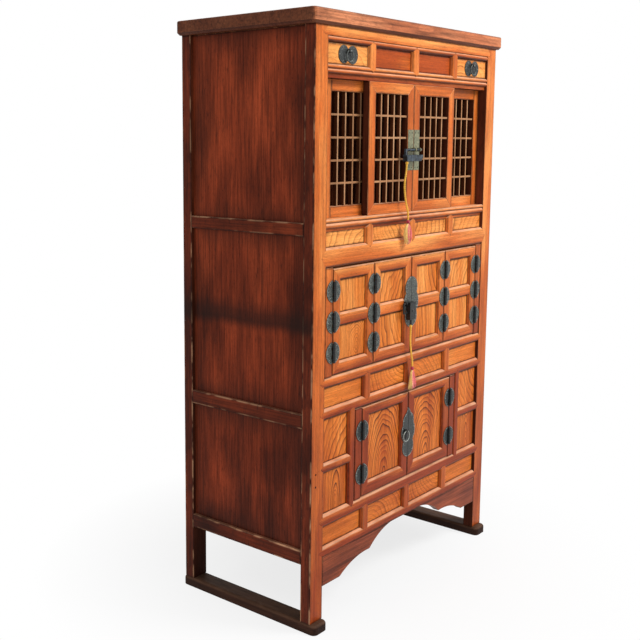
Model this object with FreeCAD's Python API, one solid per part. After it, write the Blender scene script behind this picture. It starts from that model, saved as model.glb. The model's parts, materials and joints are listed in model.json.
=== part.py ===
import FreeCAD, Part
import math
import os

# A two tier kitchen chest on runners: drawers and sliding lattice doors above, folding doors
# and a pair of lower doors below. X is the width, the front faces -Y and Z is up. The origin
# is on the floor under the middle of the runners. All sizes are in millimetres.

# Carcass
carcass_width = 980.0
carcass_depth = 478.0
post_width = 57.0
post_depth = 34.0
post_round = 2.5
board_side_overhang = 20.0
board_front_overhang = 12.0
board_back_overhang = 6.0
board_corner_round = 14.0
board_top_round = 5.0
board_under_bevel = 7.0
runner_height = 27.0
runner_width = 62.0
runner_side_reach = 3.0
runner_nose = 19.0
runner_heel = 8.0
runner_corner_round = 15.0
runner_top_round = 9.0

# Heights of the front, from the floor up
arch_height = 205.0
rail_8_height = 26.0
strip_3_height = 59.0
rail_7_height = 35.0
lower_opening_height = 270.0
rail_6_height = 30.0
strip_2_height = 58.0
rail_5_height = 29.0
fold_opening_height = 300.0
rail_4_height = 55.0
strip_1_height = 43.0
rail_3_height = 33.0
lattice_opening_height = 371.5
rail_2_height = 35.0
drawer_row_height = 56.5
rail_1_height = 41.0
board_thickness = 40.0

# Front rails: each face is a stack of bands, from its lower edge up
rail_depth = 28.0
track_rail_depth = 56.0
bead_relief = 5.0
round_relief = 6.5
recess_relief = 8.0
rail_tongue_reach = 20.0
tongue_depth = 8.0
rail_band_shares = {
    1: (("bead", 0.38), ("flat", 0.62)),
    2: (("recess", 0.30), ("bead", 0.36), ("bead", 0.34)),
    3: (("recess", 0.20), ("bead", 0.47), ("bead", 0.33)),
    4: (("round_low", 0.24), ("flat", 0.60), ("round_high", 0.16)),
    5: (("round_low", 0.30), ("flat", 0.36), ("round_high", 0.34)),
    6: (("round_low", 0.30), ("flat", 0.33), ("round_high", 0.37)),
    7: (("round_low", 0.28), ("flat", 0.40), ("round_high", 0.32)),
    8: (("flat", 0.62), ("round_high", 0.38)),
}

# Front uprights and fixed panels
strip_stile_width = 36.0
stile_tip = 13.0
stile_round = 8.0
jamb_round = 4.0
bay_width = 120.0
bay_stile_width = 30.0
door_jamb_width = 34.5
bay_rail_height = 26.5
bay_lower_panel_height = 120.0
fold_jamb_width = 35.5
panel_recess = 9.0
panel_thickness = 8.0
panel_groove = 4.0

# Apron under the lowest rail: it steps up towards the middle of the front
apron_thickness = 20.0
apron_foot_drop = 85.0
apron_step_drop = 49.5
apron_foot_length = 83.0
apron_step_end = 233.0
apron_arch_end = 355.0
apron_foot_bulge = 12.0
apron_arch_bulge = 11.0

# Sides and back
side_rail_thickness = 22.0
side_rail_1_height = 36.0
side_rail_2_height = 40.0
side_rail_3_height = 40.0
side_rail_1_drop = 7.0
side_rail_2_drop = 8.0
side_rail_3_rise = 1.0
side_panel_recess = 11.0
side_panel_thickness = 10.0
back_panel_recess = 8.0
side_groove = 5.0

# Inside boards
shelf_thickness = 12.0
bearer_width = 20.0
bearer_height = 20.0
guide_height = 20.0
partition_thickness = 12.0
stop_height = 10.0
stop_thickness = 7.0
stop_gap = 0.5

# Drawers
drawer_side_gap = 1.0
drawer_top_gap = 1.5
drawer_floor_gap = 0.3
drawer_face_recess = 6.0
drawer_front_thickness = 18.0
drawer_length = 400.0
drawer_side_thickness = 10.0
drawer_side_height = 46.0
drawer_bottom_thickness = 6.0

# Drawer pulls
pull_lobe_radius = 24.0
pull_lobe_offset = 20.0
pull_plate_thickness = 1.6
pull_boss_radius = 4.5
pull_boss_length = 10.0
pull_boss_rise = 9.0
pull_axis_reach = 7.0
bail_radius = 15.0
bail_wire = 2.0
bail_pin_radius = 1.5
bail_pin_depth = 3.5
bail_opening_angle = 60.0

# Sliding lattice doors
lattice_thickness = 20.0
lattice_front_face = 5.5
lattice_rear_face = 28.5
lattice_overlap = 39.5
lattice_outer_extra = 2.3
lattice_middle_stile = 34.0
lattice_outer_stile = 29.0
lattice_rail_height = 31.0
lattice_meeting_gap = 0.3
lattice_post_gap = 0.5
lattice_floor_gap = 0.4
lattice_head_gap = 1.0
left_leaf_drawn = 24.0
track_tongue = 8.0
track_gap = 0.3
track_low_depth = 3.5
track_low_tongue = 3.2
track_high_depth = 9.0
track_high_tongue = 6.0
bar_width = 6.0
bar_depth = 12.0
bar_recess = 3.5
bar_columns = 5
bar_rows = 5
lattice_plate_width = 29.0
lattice_plate_height = 118.0
lattice_plate_thickness = 1.6
lattice_plate_inset = 2.0
lattice_plate_low = 122.0

# Folding doors
leaf_thickness = 20.0
leaf_face_depth = 1.0
leaf_seam_gap = 0.5
leaf_meeting_gap = 0.8
leaf_meeting_bevel = 2.2
leaf_floor_gap = 3.0
leaf_head_gap = 4.0
leaf_stile_width = 35.0
leaf_top_rail = 33.0
leaf_mid_rail = 36.0
leaf_bottom_rail = 34.0
leaf_mid_low = 136.0
leaf_inner_round = 7.0
leaf_outer_round = 3.0
leaf_panel_recess = 8.0

# Lower doors
door_floor_gap = 2.0
door_head_gap = 3.0
door_stile_width = 38.0
door_top_rail = 28.0
door_bottom_rail = 38.0

# Round two-part hinges
hinge_radius = 31.0
hinge_plate_thickness = 1.8
hinge_barrel_radius = 4.5
hinge_axis_reach = 5.0
hinge_pin_radius = 2.0
hinge_pin_gap = 0.08
hinge_barrel_length = 54.0
hinge_knuckles = 5
hinge_knuckle_gap = 0.3
hinge_plate_clearance = 0.8
fold_hinge_heights = (66.0, 151.0, 236.0)
door_hinge_heights = (72.0, 201.0)

# Lock plates and the ring pull
plate_thickness = 1.6
plate_split_gap = 0.8
fold_plate_lobe_radius = 33.0
fold_plate_middle_radius = 40.0
fold_plate_lobe_offset = 44.0
fold_plate_height = 159.0
door_plate_lobe_radius = 31.0
door_plate_middle_radius = 38.0
door_plate_lower_offset = 48.0
door_plate_upper_offset = 30.0
door_plate_point = 78.0
door_plate_point_width = 44.0
door_plate_height = 143.0
eye_width = 4.0
eye_wall = 2.6
ring_major_radius = 16.0
ring_wire = 2.0
ring_gap = 0.3
ring_seam_distance = 20.0
ring_drop = 10.0
ring_reach = 6.0
knob_radius = 9.0
knob_height = 7.0

# Padlocks
lock_bar_radius = 3.0
lock_bar_gap = 0.1
upper_lock_left = -67.0
upper_lock_length = 89.0
upper_lock_low = 149.0
upper_lock_body_height = 18.0
upper_lock_height = 36.0
upper_lock_thickness = 14.0
upper_lock_reach = 16.5
upper_lock_arm = 8.0
upper_lock_taper = 10.0
upper_eye_seam_distance = 12.0
fold_lock_width = 30.0
fold_lock_height = 53.0
fold_lock_low = 108.0
fold_lock_thickness = 13.0
fold_lock_reach = 11.5
fold_lock_seam_gap = 1.6
fold_shackle_span = 19.0
fold_shackle_drop = 28.0
fold_bar_drop = 3.5
fold_bar_reach = 7.5
fold_eye_setback = 8.0
fold_stem_radius = 3.5
fold_stem_length = 16.0

# Cords with a bead and a tassel. Each route is a list of (x, depth in front, height) points.
cord_radius = 3.2
bead_radius = 6.0
tassel_top_radius = 5.0
tassel_bottom_radius = 18.0
tassel_depth = 12.0
tassel_neck = 1.0
upper_tassel_length = 62.0
fold_tassel_length = 60.0
upper_cord_route = (
    (-60.0, 11.0, 1292.0),
    (-60.0, 11.0, 1268.0),
    (-73.0, 12.0, 1229.0),
    (-70.0, 13.0, 1194.0),
    (-58.0, 12.5, 1160.0),
    (-48.0, 12.0, 1138.0),
    (-48.0, 12.0, 1121.0),
)
fold_cord_route = (
    (-16.6, 10.5, 804.0),
    (-16.6, 10.5, 784.0),
    (-19.0, 11.0, 757.0),
    (-16.0, 12.0, 728.0),
    (-9.5, 12.0, 702.0),
    (-4.0, 11.5, 688.0),
    (-4.0, 11.5, 674.0),
)
bend_share = 0.45
fit_overrun = 5.0
tiny = 1e-6

# Places worked out from the sizes
half_width = carcass_width / 2
inner_half = half_width - post_width
front_y = runner_nose - (carcass_depth + runner_nose + runner_heel) / 2
strip_bay = (2 * inner_half - 3 * strip_stile_width) / 4
seam = inner_half - fold_jamb_width
leaf_width = seam / 2
bay_stile_x = inner_half - bay_width
jamb_x = bay_stile_x - bay_stile_width
door_seam = jamb_x - door_jamb_width
side_inner = half_width - side_rail_thickness
side_panel_inner = half_width - side_panel_recess - side_panel_thickness
back_rail_inner = carcass_depth - side_rail_thickness
back_panel_inner = carcass_depth - back_panel_recess - side_panel_thickness
hinge_axis_depth = leaf_face_depth - hinge_axis_reach
lattice_run = inner_half - lattice_post_gap - lattice_meeting_gap + lattice_overlap
lattice_middle_width = (lattice_run - lattice_outer_extra) / 2
lattice_outer_width = lattice_middle_width + lattice_outer_extra

level = {}
level["rail_8"] = arch_height
level["strip_3"] = level["rail_8"] + rail_8_height
level["rail_7"] = level["strip_3"] + strip_3_height
level["lower"] = level["rail_7"] + rail_7_height
level["rail_6"] = level["lower"] + lower_opening_height
level["strip_2"] = level["rail_6"] + rail_6_height
level["rail_5"] = level["strip_2"] + strip_2_height
level["fold"] = level["rail_5"] + rail_5_height
level["rail_4"] = level["fold"] + fold_opening_height
level["strip_1"] = level["rail_4"] + rail_4_height
level["rail_3"] = level["strip_1"] + strip_1_height
level["lattice"] = level["rail_3"] + rail_3_height
level["rail_2"] = level["lattice"] + lattice_opening_height
level["drawers"] = level["rail_2"] + rail_2_height
level["rail_1"] = level["drawers"] + drawer_row_height
level["board"] = level["rail_1"] + rail_1_height


def at(depth):
    """The y of a depth measured back from the posts' front plane."""
    return front_y + depth


def vec(x, y, z):
    return FreeCAD.Vector(x, y, z)


def block(x0, x1, d0, d1, z0, z1):
    """A box between two x, two depths behind the front plane and two heights."""
    return Part.makeBox(x1 - x0, d1 - d0, z1 - z0, vec(x0, at(d0), z0))


def prism(outline, d0, d1):
    """An (x, z) outline of straight sides, given thickness between two depths."""
    points = [vec(x, at(d0), z) for x, z in outline]
    face = Part.Face(Part.makePolygon(points + [points[0]]))
    return face.extrude(vec(0, d1 - d0, 0))


def rod(radius, start, end):
    """A round bar between two (x, depth, z) places."""
    a = vec(start[0], at(start[1]), start[2])
    b = vec(end[0], at(end[1]), end[2])
    return Part.makeCylinder(radius, (b - a).Length, a, b - a)


def disc(radius, x, z, d0, d1):
    """A round plate that faces the front."""
    return rod(radius, (x, d0, z), (x, d1, z))


def joined(*shapes):
    """One solid made of shapes that overlap."""
    return shapes[0].fuse(list(shapes[1:])).removeSplitter()


def mirrored(shape):
    return shape.mirror(vec(0, 0, 0), vec(1, 0, 0))


def both_sides(solids):
    return list(solids) + [mirrored(s) for s in solids]


def carved(solids, tools):
    """Each solid with the seats of the tools cut into it."""
    seats = Part.makeCompound(tools)
    return [s.cut(seats) for s in solids]


def runs_along(edge, axis):
    box = edge.BoundBox
    lengths = {"x": box.XLength, "y": box.YLength, "z": box.ZLength}
    across = [lengths[a] for a in lengths if a != axis]
    return lengths[axis] > tiny and max(across) < tiny


def rounded(shape, radius, axis, wanted):
    """The shape with its straight edges along an axis rounded, where wanted(box) says so."""
    edges = [e for e in shape.Edges if runs_along(e, axis) and wanted(e.BoundBox)]
    return shape.makeFillet(radius, edges)


def round_front(shape, axis, low_radius, high_radius):
    """Rounds the two front edges of a straight member, on its low and its high side."""
    front = shape.BoundBox.YMin
    side = {"x": "ZMin", "z": "XMin"}[axis]

    def places(s):
        edges = [e for e in s.Edges if runs_along(e, axis)]
        return [getattr(e.BoundBox, side) for e in edges if abs(e.BoundBox.YMax - front) < tiny]

    low = min(places(shape))
    high = max(places(shape))
    for place, radius in ((low, low_radius), (high, high_radius)):
        def here(box):
            return abs(box.YMax - front) < tiny and abs(getattr(box, side) - place) < tiny
        shape = rounded(shape, radius, axis, here)
    return shape


# Posts, runners and the top board

def post(side, place):
    """A corner post: side is -1 for left and 1 for right, place is front or back."""
    x0 = min(side * inner_half, side * half_width)
    d0 = 0 if place == "front" else carcass_depth - post_depth
    shape = block(x0, x0 + post_width, d0, d0 + post_depth, runner_height, level["board"])
    return rounded(shape, post_round, "z", lambda box: True)


def runner(side):
    outer = side * (half_width + runner_side_reach)
    inner = outer - side * runner_width
    x0 = min(outer, inner)
    shape = block(x0, x0 + runner_width, -runner_nose, carcass_depth + runner_heel, 0, runner_height)
    shape = rounded(shape, runner_corner_round, "z", lambda box: True)
    top = [e for e in shape.Edges if e.BoundBox.ZMin > runner_height - tiny]
    return shape.makeFillet(runner_top_round, top)


def top_board():
    x = half_width + board_side_overhang
    top = level["board"] + board_thickness
    shape = block(-x, x, -board_front_overhang, carcass_depth + board_back_overhang,
                  level["board"], top)
    shape = rounded(shape, board_corner_round, "z", lambda box: True)
    upper = [e for e in shape.Edges if e.BoundBox.ZMin > top - tiny]
    shape = shape.makeFillet(board_top_round, upper)
    lower = [e for e in shape.Edges if e.BoundBox.ZMax < level["board"] + tiny]
    return shape.makeChamfer(board_under_bevel, lower)


# Front rails, uprights and panels

def band_edges(kind, z0, z1, relief):
    """The (depth, z) ends of one band of a rail's face, and the middle point of its arc."""
    middle = (z0 + z1) / 2
    if kind == "bead":
        return (relief["bead"], z0), (0, middle), (relief["bead"], z1)
    if kind == "recess":
        return (relief["recess"], z0), None, (relief["recess"], z1)
    if kind == "flat":
        return (0, z0), None, (0, z1)
    quarter = math.sqrt(0.5)
    deep = relief["round"]
    if kind == "round_low":
        crown = (deep * (1 - quarter), z1 - (z1 - z0) * quarter)
        return (deep, z0), crown, (0, z1)
    crown = (deep * (1 - quarter), z0 + (z1 - z0) * quarter)
    return (0, z0), crown, (deep, z1)


def rail_profile(x, low, height, bands, depth):
    """The face of a rail's cross-section at one x."""
    relief = {"bead": bead_relief, "round": round_relief, "recess": recess_relief}
    edges = []
    corners = []
    z = low
    for kind, share in bands:
        start, crown, end = band_edges(kind, z, z + height * share, relief)
        z += height * share
        a = vec(x, at(start[0]), start[1])
        b = vec(x, at(end[0]), end[1])
        if corners and (corners[-1] - a).Length > tiny:
            edges.append(Part.LineSegment(corners[-1], a).toShape())
        if crown:
            edges.append(Part.Arc(a, vec(x, at(crown[0]), crown[1]), b).toShape())
        else:
            edges.append(Part.LineSegment(a, b).toShape())
        corners += [a, b]
    rear_high = vec(x, at(depth), low + height)
    rear_low = vec(x, at(depth), low)
    loop = [corners[-1], rear_high, rear_low, corners[0]]
    for a, b in zip(loop, loop[1:]):
        edges.append(Part.LineSegment(a, b).toShape())
    return Part.Face(Part.Wire(edges))


def moulded_rail(x0, x1, low, height, bands, depth, reach):
    """A rail whose front runs on past x0 and x1 as two pointed tongues."""
    middle = low + height / 2
    high = low + height
    run = rail_profile(x0 - reach, low, height, bands, depth)
    run = run.extrude(vec(x1 - x0 + 2 * reach, 0, 0))
    outline = [(x0, low), (x1, low), (x1 + reach, middle), (x1, high), (x0, high), (x0 - reach, middle)]
    keep = prism(outline, 0, tongue_depth).fuse(block(x0, x1, 0, depth, low, high))
    return run.common(keep)


def upright(x0, x1, d0, depth, z0, z1, radius, tip_low, tip_high):
    """A front upright with rounded edges; a tip is a point that runs on into a rail."""
    middle = (x0 + x1) / 2
    bar = block(x0, x1, d0, depth, z0 - tip_low, z1 + tip_high)
    front = at(d0)
    bar = rounded(bar, radius, "z", lambda box: box.YMax < front + tiny)
    outline = [(x0, z0), (middle, z0 - tip_low), (x1, z0), (x1, z1), (middle, z1 + tip_high), (x0, z1)]
    if not tip_low:
        outline.pop(1)
    if not tip_high:
        outline.pop(-2)
    keep = prism(outline, d0, tongue_depth).fuse(block(x0, x1, d0, depth, z0, z1))
    return bar.common(keep)


def front_rails():
    heights = {1: rail_1_height, 2: rail_2_height, 3: rail_3_height, 4: rail_4_height,
               5: rail_5_height, 6: rail_6_height, 7: rail_7_height, 8: rail_8_height}
    rails = []
    for number, height in heights.items():
        depth = track_rail_depth if number in (2, 3) else rail_depth
        rails.append(moulded_rail(-inner_half, inner_half, level["rail_%d" % number], height,
                                  rail_band_shares[number], depth, rail_tongue_reach))
    return rails


def strip_places():
    """The (x0, x1) of the three uprights in a strip, and of its four panels."""
    pitch = strip_bay + strip_stile_width
    stiles = []
    panels = []
    for index in range(4):
        x0 = -inner_half + index * pitch
        panels.append((x0, x0 + strip_bay))
        if index < 3:
            stiles.append((x0 + strip_bay, x0 + pitch))
    return stiles, panels


def panel(x0, x1, z0, z1, recess):
    """A panel that fills an opening and runs on into the grooves around it."""
    g = panel_groove
    return block(x0 - g, x1 + g, recess, recess + panel_thickness, z0 - g, z1 + g)


def strip_rows():
    """The (low, height) of the drawer row and of the three strips."""
    return (("drawers", drawer_row_height), ("strip_1", strip_1_height),
            ("strip_2", strip_2_height), ("strip_3", strip_3_height))


def front_uprights():
    stiles, bays = strip_places()
    solids = []
    for name, height in strip_rows():
        for x0, x1 in stiles:
            solids.append(upright(x0, x1, 0, rail_depth, level[name], level[name] + height,
                                  stile_round, stile_tip, stile_tip))
    fold_top = level["fold"] + fold_opening_height
    lower_top = level["lower"] + lower_opening_height
    left = [
        upright(-inner_half, -seam - leaf_seam_gap, leaf_face_depth, rail_depth,
                level["fold"], fold_top, jamb_round, 0, 0),
        upright(-bay_stile_x, -jamb_x, 0, rail_depth, level["lower"], lower_top,
                stile_round, stile_tip, stile_tip),
        upright(-jamb_x, -door_seam - leaf_seam_gap, leaf_face_depth, rail_depth,
                level["lower"], lower_top, jamb_round, 0, 0),
    ]
    return solids + both_sides(left)


def bay_rails():
    low = level["lower"] + bay_lower_panel_height
    left = moulded_rail(-inner_half, -bay_stile_x, low, bay_rail_height, rail_band_shares[6],
                        rail_depth, stile_tip)
    return both_sides([left])


def front_panels():
    stiles, bays = strip_places()
    solids = []
    for name, height in strip_rows():
        used = bays[1:3] if name == "drawers" else bays
        for x0, x1 in used:
            solids.append(panel(x0, x1, level[name], level[name] + height, panel_recess))
    low = level["lower"]
    split = low + bay_lower_panel_height
    left = [
        panel(-inner_half, -bay_stile_x, low, split, panel_recess),
        panel(-inner_half, -bay_stile_x, split + bay_rail_height, low + lower_opening_height,
              panel_recess),
    ]
    return solids + both_sides(left)


def track_grooves(z0, z1):
    """The two grooves that the lattice doors run in, between two heights."""
    grooves = []
    for face in (lattice_front_face, lattice_rear_face):
        d0 = face + (lattice_thickness - track_tongue) / 2 - track_gap
        grooves.append(block(-inner_half, inner_half, d0, d0 + track_tongue + 2 * track_gap, z0, z1))
    return grooves


def apron():
    """The two shaped boards under the lowest rail."""
    top = level["rail_8"]
    foot = top - apron_foot_drop
    step = top - apron_step_drop
    x_post = -inner_half
    x_foot = x_post + apron_foot_length
    x_step = x_post + apron_step_end
    x_arch = x_post + apron_arch_end

    def place(x, z):
        return vec(x, at(0), z)

    corners = [(x_arch, top), (x_post, top), (x_post, foot), (x_foot, foot)]
    edges = [Part.LineSegment(place(*a), place(*b)).toShape() for a, b in zip(corners, corners[1:])]
    foot_crown = place((x_foot + x_step) / 2, (foot + step) / 2 + apron_foot_bulge)
    arch_crown = place((x_step + x_arch) / 2, (step + top) / 2 + apron_arch_bulge)
    edges.append(Part.Arc(place(x_foot, foot), foot_crown, place(x_step, step)).toShape())
    edges.append(Part.Arc(place(x_step, step), arch_crown, place(x_arch, top)).toShape())
    left = Part.Face(Part.Wire(edges)).extrude(vec(0, apron_thickness, 0))
    return both_sides([left])


# Sides and back

def side_levels():
    """The (low, high) of the three side rails, from the top one down."""
    high_1 = level["lattice"] - side_rail_1_drop
    high_2 = level["strip_2"] - side_rail_2_drop
    high_3 = level["strip_3"] + side_rail_3_rise
    return ((high_1 - side_rail_1_height, high_1), (high_2 - side_rail_2_height, high_2),
            (high_3 - side_rail_3_height, high_3))


def side_rails():
    left = [block(-half_width, -side_inner, post_depth, carcass_depth - post_depth, z0, z1)
            for z0, z1 in side_levels()]
    left = [rounded(s, post_round, "y", lambda box: box.XMax < tiny - half_width) for s in left]
    return both_sides(left)


def back_rails():
    return [block(-inner_half, inner_half, back_rail_inner, carcass_depth, z0, z1)
            for z0, z1 in side_levels()]


def panel_heights():
    """The (low, high) of the three side panels, with what runs into the rails' grooves."""
    (low_1, high_1), (low_2, high_2), (low_3, high_3) = side_levels()
    g = side_groove
    return ((high_1 - g, level["board"]), (high_2 - g, low_1 + g), (high_3 - g, low_2 + g))


def side_panels():
    x0 = side_panel_recess - half_width
    g = side_groove
    left = [block(x0, x0 + side_panel_thickness, post_depth - g, carcass_depth - post_depth + g, z0, z1)
            for z0, z1 in panel_heights()]
    return both_sides(left)


def back_panels():
    x = inner_half + side_groove
    return [block(-x, x, back_panel_inner, back_panel_inner + side_panel_thickness, z0, z1)
            for z0, z1 in panel_heights()]


# Inside boards

def shelf_tops():
    """The tops of the drawer board and of the three floors, each with its front edge's depth."""
    (low_1, high_1), (low_2, high_2), (low_3, high_3) = side_levels()
    return ((level["drawers"], track_rail_depth, side_panel_inner, back_panel_inner),
            (high_1, track_rail_depth, side_inner, back_rail_inner),
            (low_2 + bearer_height + shelf_thickness, rail_depth, side_inner, back_rail_inner),
            (low_3 + bearer_height + shelf_thickness, rail_depth, side_inner, back_rail_inner))


def shelves(posts):
    boards = [block(-x, x, d0, d1, z - shelf_thickness, z) for z, d0, x, d1 in shelf_tops()]
    return carved(boards, posts)


def bearers_and_guides():
    """Side bearers under each board, drawer guides and partitions, and the doors' stops."""
    d0 = post_depth
    d1 = carcass_depth - post_depth
    left = []
    for index, (z, front, x, rear) in enumerate(shelf_tops()):
        high = z - shelf_thickness
        inner = inner_half if index == 0 else x - bearer_width
        left.append(block(-x, -inner, d0, d1, high - bearer_height, high))
    z = level["drawers"]
    left.append(block(-side_panel_inner, -inner_half, d0, d1, z, z + guide_height))
    x = -inner_half + strip_bay
    left.append(block(x, x + partition_thickness, rail_depth, back_panel_inner, z, level["board"]))
    behind = leaf_face_depth + leaf_thickness + stop_gap
    stops = [
        block(-seam, seam, behind, behind + stop_thickness,
              level["rail_4"] - stop_height, level["rail_4"]),
        block(-door_seam, door_seam, behind, behind + stop_thickness,
              level["rail_6"] - stop_height, level["rail_6"]),
    ]
    return both_sides(left) + stops


# Drawers and their pulls

def drawer():
    """The left drawer: front, two sides, back and bottom as separate boards."""
    x0 = -inner_half + drawer_side_gap
    x1 = -inner_half + strip_bay - drawer_side_gap
    z0 = level["drawers"] + drawer_floor_gap
    z1 = level["rail_1"] - drawer_top_gap
    face = drawer_face_recess
    inside = face + drawer_front_thickness
    rear = face + drawer_length
    side_top = z0 + drawer_side_height
    wall = drawer_side_thickness
    floor = z0 + drawer_bottom_thickness
    return [
        block(x0, x1, face, inside, z0, z1),
        block(x0, x0 + wall, inside, rear, z0, side_top),
        block(x1 - wall, x1, inside, rear, z0, side_top),
        block(x0 + wall, x1 - wall, rear - wall, rear, z0, side_top),
        block(x0 + wall, x1 - wall, inside, rear - wall, z0, floor),
    ]


def pull_centre():
    x = -inner_half + strip_bay / 2
    z = level["drawers"] + drawer_row_height / 2
    return x, z


def pull_plate():
    """A two-lobed plate with the boss that the bail swings in."""
    x, z = pull_centre()
    d1 = drawer_face_recess
    d0 = d1 - pull_plate_thickness
    axis_d = d1 - pull_axis_reach
    axis_z = z + pull_boss_rise
    half = pull_boss_length / 2
    plate = joined(disc(pull_lobe_radius, x - pull_lobe_offset, z, d0, d1),
                   disc(pull_lobe_radius, x + pull_lobe_offset, z, d0, d1))
    boss = rod(pull_boss_radius, (x - half, axis_d, axis_z), (x + half, axis_d, axis_z))
    neck = block(x - half, x + half, axis_d, d1, axis_z - pull_boss_radius, axis_z + pull_boss_radius)
    bore = rod(bail_pin_radius + hinge_pin_gap, (x - half - fit_overrun, axis_d, axis_z),
               (x + half + fit_overrun, axis_d, axis_z))
    return joined(plate, boss, neck).cut(bore)


def bail():
    """An open ring that hangs from two pins in the boss."""
    x, z = pull_centre()
    axis_d = drawer_face_recess - pull_axis_reach
    axis_z = z + pull_boss_rise
    half_opening = math.radians(bail_opening_angle / 2)
    rise = bail_radius * math.cos(half_opening)
    centre = vec(x, at(axis_d), axis_z - rise)
    start = vec(x + bail_radius * math.sin(half_opening), at(axis_d), axis_z)
    tangent = (start - centre).cross(vec(0, 1, 0))
    section = Part.Face(Part.Wire(Part.makeCircle(bail_wire, start, tangent)))
    ring = section.revolve(centre, vec(0, 1, 0), 360 - bail_opening_angle)
    tip = pull_boss_length / 2 - bail_pin_depth
    reach = bail_radius * math.sin(half_opening)
    pins = [rod(bail_pin_radius, (x + s * tip, axis_d, axis_z), (x + s * reach, axis_d, axis_z))
            for s in (-1, 1)]
    shoulder = [Part.makeSphere(bail_wire, vec(x + s * reach, at(axis_d), axis_z)) for s in (-1, 1)]
    return joined(ring, *pins, *shoulder)


# Framed leaves

def frame_outlines(x0, x1, z0, z1, stile, top, bottom, low_tongue, high_tongue, mitred):
    """The (x, z) outlines of a leaf's two stiles, top rail and bottom rail."""
    a = x0 + stile
    b = x1 - stile
    c = z0 + bottom
    d = z1 - top
    low = z0 - low_tongue
    high = z1 + high_tongue
    if mitred:
        top_rail = [(x0, z1), (a, d), (b, d), (x1, z1)]
        bottom_rail = [(x1, z0), (b, c), (a, c), (x0, z0)]
        if high_tongue:
            top_rail += [(x1, high), (x0, high)]
        if low_tongue:
            bottom_rail += [(x0, low), (x1, low)]
        return {"left": [(x0, z0), (a, c), (a, d), (x0, z1)],
                "right": [(x1, z0), (x1, z1), (b, d), (b, c)],
                "top": top_rail, "bottom": bottom_rail}
    return {"left": [(x0, low), (a, low), (a, high), (x0, high)],
            "right": [(b, low), (x1, low), (x1, high), (b, high)],
            "top": [(a, d), (b, d), (b, high), (a, high)],
            "bottom": [(a, low), (b, low), (b, c), (a, c)]}


def panelled_leaf(x0, x1, z0, z1, stile, top, bottom, mid_low, mid_height):
    """A leaf of mitred, rounded members around recessed panels."""
    face = leaf_face_depth
    rear = face + leaf_thickness
    outlines = frame_outlines(x0, x1, z0, z1, stile, top, bottom, 0, 0, True)
    radii = {"left": ("z", leaf_outer_round, leaf_inner_round),
             "right": ("z", leaf_inner_round, leaf_outer_round),
             "top": ("x", leaf_inner_round, leaf_outer_round),
             "bottom": ("x", leaf_outer_round, leaf_inner_round)}
    members = []
    for name, outline in outlines.items():
        axis, low_radius, high_radius = radii[name]
        members.append(round_front(prism(outline, face, rear), axis, low_radius, high_radius))
    a = x0 + stile
    b = x1 - stile
    recess = face + leaf_panel_recess
    fields = [(z0 + bottom, z1 - top)]
    cross = []
    if mid_height:
        m0 = z0 + mid_low
        m1 = m0 + mid_height
        fields = [(z0 + bottom, m0), (m1, z1 - top)]
        bar = moulded_rail(a, b, m0, mid_height, rail_band_shares[6], rear, stile_tip)
        cross = [bar.common(block(x0, x1, face, rear, m0, m1))]
    panels = [panel(a, b, low, high, recess) for low, high in fields]
    members = carved(members, cross + panels)
    cross = carved(cross, panels)
    return members + cross + panels


def bevelled(solids, x_edge, direction, z0, z1):
    """The solids with a meeting edge sloped back, so that it swings clear of its partner."""
    face = leaf_face_depth
    rear = face + leaf_thickness
    points = [vec(x_edge, at(face), z0), vec(x_edge, at(rear), z0),
              vec(x_edge - direction * leaf_meeting_bevel, at(rear), z0)]
    wedge = Part.Face(Part.makePolygon(points + [points[0]])).extrude(vec(0, 0, z1 - z0))
    return [s.cut(wedge) for s in solids]


def fold_leaf(outer):
    """A left folding leaf: the outer one hangs on the jamb, the other on the outer one."""
    z0 = level["fold"] + leaf_floor_gap
    z1 = level["rail_4"] - leaf_head_gap
    if outer:
        x0 = -seam + leaf_seam_gap
        x1 = -leaf_width - leaf_seam_gap
    else:
        x0 = -leaf_width + leaf_seam_gap
        x1 = -leaf_meeting_gap
    solids = panelled_leaf(x0, x1, z0, z1, leaf_stile_width, leaf_top_rail, leaf_bottom_rail,
                           leaf_mid_low - leaf_floor_gap, leaf_mid_rail)
    return solids if outer else bevelled(solids, x1, 1, z0, z1)


def lower_door():
    """The left lower door."""
    z0 = level["lower"] + door_floor_gap
    z1 = level["rail_6"] - door_head_gap
    x0 = -door_seam + leaf_seam_gap
    x1 = -leaf_meeting_gap
    solids = panelled_leaf(x0, x1, z0, z1, door_stile_width, door_top_rail, door_bottom_rail, 0, 0)
    return bevelled(solids, x1, 1, z0, z1)


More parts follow.
